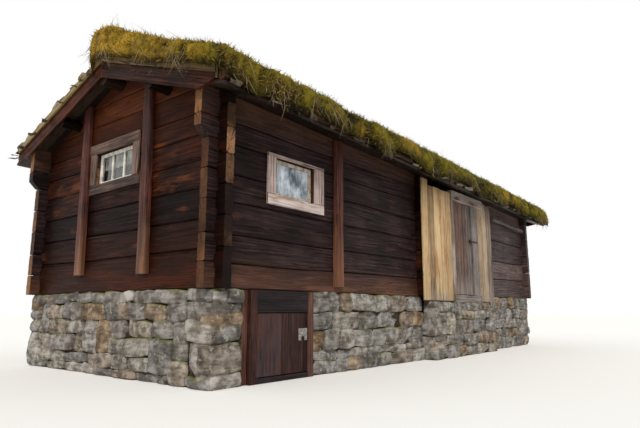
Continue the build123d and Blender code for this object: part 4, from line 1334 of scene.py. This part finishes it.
    def growth(self, crown, cover_by, name, material, seed, steps=3, aim=(0.0, 0.0, 1.0), **values):
        """Blades over the crown, as thick as one of its layers says."""
        mesh = crown.copy()
        cover = [0.0] * len(mesh.vertices)
        mesh.attributes[cover_by].data.foreach_get("value", cover)
        add_layer(mesh, "cover", cover)
        blades = grown(mesh, blades_tree(name + " growth", material, seed, steps, aim), **values)
        low, high = SOLID_BOX
        for vert in blades.vertices:
            for axis in (X, Y, Z):
                room = GROWTH_ROOM * (high[axis] - low[axis])
                vert.co[axis] = max(low[axis] - room, min(high[axis] + room, vert.co[axis]))
        piece(name, blades, None, body="cabin")

    def mossy_logs(self):
        """The eave logs with a layer that says where moss has settled on them."""
        bm = solid("eave_logs")
        sliced(bm, {X: 0.12})
        bm.normal_update()
        mesh = closed(bm, "eave logs")
        cover = []
        for vert in mesh.vertices:
            out = vert.normal.y * (1 if vert.co.y > RIDGE_Y else -1)
            patch = max(0.0, noise.noise(Vector((vert.co.x * 1.7, vert.co.y, 4.0))) + 0.12) * 1.8
            cover.append(patch * (out > -0.1))
        add_layer(mesh, "tufts", cover)
        return mesh

    def bark(self, size):
        """Scraps of the birch bark under the turf, out over the eaves and the verges."""
        rng = random.Random(121)
        front, back = deck_low.y, 2 * RIDGE_Y - deck_low.y
        places = []
        for y, out in ((front, -1), (back, 1)):
            x = deck_low.x
            while x < deck_high.x:
                x += size.bark * rng.uniform(0.3, 2.4)
                off, roll = out * rng.uniform(-0.02, 0.03), out * rng.uniform(0.2, 1.1)
                places.append((min(x, deck_high.x), y + off, roll, 0.0))
        for x, out in ((NEAR_X, -1), (FAR_X, 1)):
            y = front
            while y < back:
                y = min(y + size.bark * rng.uniform(0.2, 2.0), back)
                places.append((x - out * rng.uniform(0.0, 0.03), y, 0.0, out * rng.uniform(-0.2, 0.3)))
        scraps = []
        for x, y, roll, pitch in places:
            lift = 0.01 if pitch == 0.0 else 0.055
            scrap = rng.uniform(0.05, 0.24), rng.uniform(0.03, 0.08), rng.uniform(0.05, 0.12)
            height = deck_top(x, y) + lift + rng.uniform(0, 0.02)
            roll = roll or (ROOF_TURN if y < RIDGE_Y else -ROOF_TURN)
            scraps.append(((x, y, height), scrap, (roll, pitch, rng.uniform(-0.3, 0.3)), rng.random()))
        piece("bark_scraps", laid(flakes_tree(birch_bark("Birch bark")), scraps), None, body="cabin")

    def weights(self):
        """Flat stones that hold the bark down along the bare verge, on the cap of the barge boards."""
        rng = random.Random(131)
        cap, end = near_boards
        above = cap.z + (end.z - cap.z) - deck_top(cap.x, RIDGE_Y)
        stones = []
        y = RIDGE_Y + 0.42
        while y < end.y - 0.1:
            long, tall = rng.uniform(0.1, 0.26), rng.uniform(0.035, 0.075)
            y += long / 2
            x = cap.x + rng.uniform(0.05, 0.09)
            stones.append((
                (x, y, deck_top(x, y) + above + tall * 0.3),
                (rng.uniform(0.08, 0.13), long, tall),
                (-ROOF_TURN + rng.uniform(-0.08, 0.08), rng.uniform(-0.1, 0.1), rng.uniform(-0.2, 0.2)),
                rng.uniform(0.3, 1.0),
            ))
            y += long / 2 + rng.choice((0.01, 0.05, 0.16))
        schist = bpy.data.materials.get("Dry-laid schist") or fieldstone("Dry-laid schist")
        piece("verge_stones", laid(stones_tree(schist), stones, Lumps=0.008), None, body="cabin")


class CABIN_OT_stage(bpy.types.Operator):
    """Camera, soft light and a plain pale floor"""

    bl_idname = "cabin.stage"
    bl_label = "Stage"

    def execute(self, context):
        scene = context.scene
        camera = put("camera", bpy.data.cameras.new("camera"))
        camera.data.lens, camera.data.sensor_width, camera.data.clip_end = 30.07, 36.0, 300
        camera.location = CORNER + Vector((-3.571, -4.286, -0.221))
        camera.rotation_euler = radians(100.22), 0.0, radians(-50.98)
        scene.camera = camera
        scene.view_settings.view_transform = "Standard"

        far = 90.0
        ground = bpy.data.meshes.new("floor")
        corners = [(-far, -far, 0), (far, -far, 0), (far, far, 0), (-far, far, 0)]
        ground.from_pydata(corners, [], [(0, 1, 2, 3)])
        floor = put("floor", ground)
        floor.location.z = -0.002
        material, tree = blank("Pale floor")
        shader = node(tree, "ShaderNodeBsdfPrincipled", {"Base Color": srgb("#f4f3f0"), "Roughness": 0.9})
        node(tree, "ShaderNodeOutputMaterial", {"Surface": shader.outputs[0]})
        ground.materials.append(material)

        sun = bpy.data.lights.new("soft key", "SUN")
        sun.energy, sun.angle, sun.color = 2.3, radians(20), (1.0, 0.97, 0.92)
        lamp = put("soft key", sun)
        lamp.rotation_euler = Vector((-0.62, -0.55, 0.75)).to_track_quat("Z", "Y").to_euler()

        world = bpy.data.worlds.new("studio")
        world.use_nodes = True
        tree = world.node_tree
        tree.nodes.clear()
        rays = node(tree, "ShaderNodeLightPath").outputs
        kinds = ("Is Camera Ray", "Is Glossy Ray", "Is Transmission Ray")
        seen = chain(tree, "MAXIMUM", *[rays[kind] for kind in kinds])
        inputs = {"Value": seen, "To Min": 0.62, "To Max": 1.0}
        strength = node(tree, "ShaderNodeMapRange", inputs).outputs["Result"]
        light = node(tree, "ShaderNodeBackground", {"Color": srgb("#ffffff"), "Strength": strength})
        node(tree, "ShaderNodeOutputWorld", {"Surface": light.outputs[0]})
        scene.world = world
        return {"FINISHED"}


OPERATORS = (
    CABIN_OT_stage,
    CABIN_OT_logs,
    CABIN_OT_windows,
    CABIN_OT_braces,
    CABIN_OT_passage,
    CABIN_OT_doors,
    CABIN_OT_roof,
    CABIN_OT_base,
    CABIN_OT_turf,
)
GROUPS = {"cabin_timber": CabinTimber, "cabin_stones": CabinStones, "cabin_turf": CabinTurf}


class CABIN_PT_panel(bpy.types.Panel):
    """Sizes of the cabin, and its pieces"""

    bl_label = "Log cabin"
    bl_idname = "CABIN_PT_panel"
    bl_space_type = "VIEW_3D"
    bl_region_type = "UI"
    bl_category = "Cabin"

    def draw(self, context):
        for name, kind in GROUPS.items():
            box = self.layout.box()
            for prop in kind.__annotations__:
                box.prop(getattr(context.scene, name), prop)
        for operator in OPERATORS:
            self.layout.operator(operator.bl_idname)


def register():
    for kind in (*GROUPS.values(), *OPERATORS, CABIN_PT_panel):
        bpy.utils.register_class(kind)
    for name, kind in GROUPS.items():
        setattr(bpy.types.Scene, name, PointerProperty(type=kind))


def unregister():
    for name in GROUPS:
        delattr(bpy.types.Scene, name)
    for kind in reversed((*GROUPS.values(), *OPERATORS, CABIN_PT_panel)):
        bpy.utils.unregister_class(kind)


def main():
    register()
    for operator in OPERATORS:
        getattr(bpy.ops.cabin, operator.bl_idname.split(".")[1])()


if __name__ == "__main__":
    main()
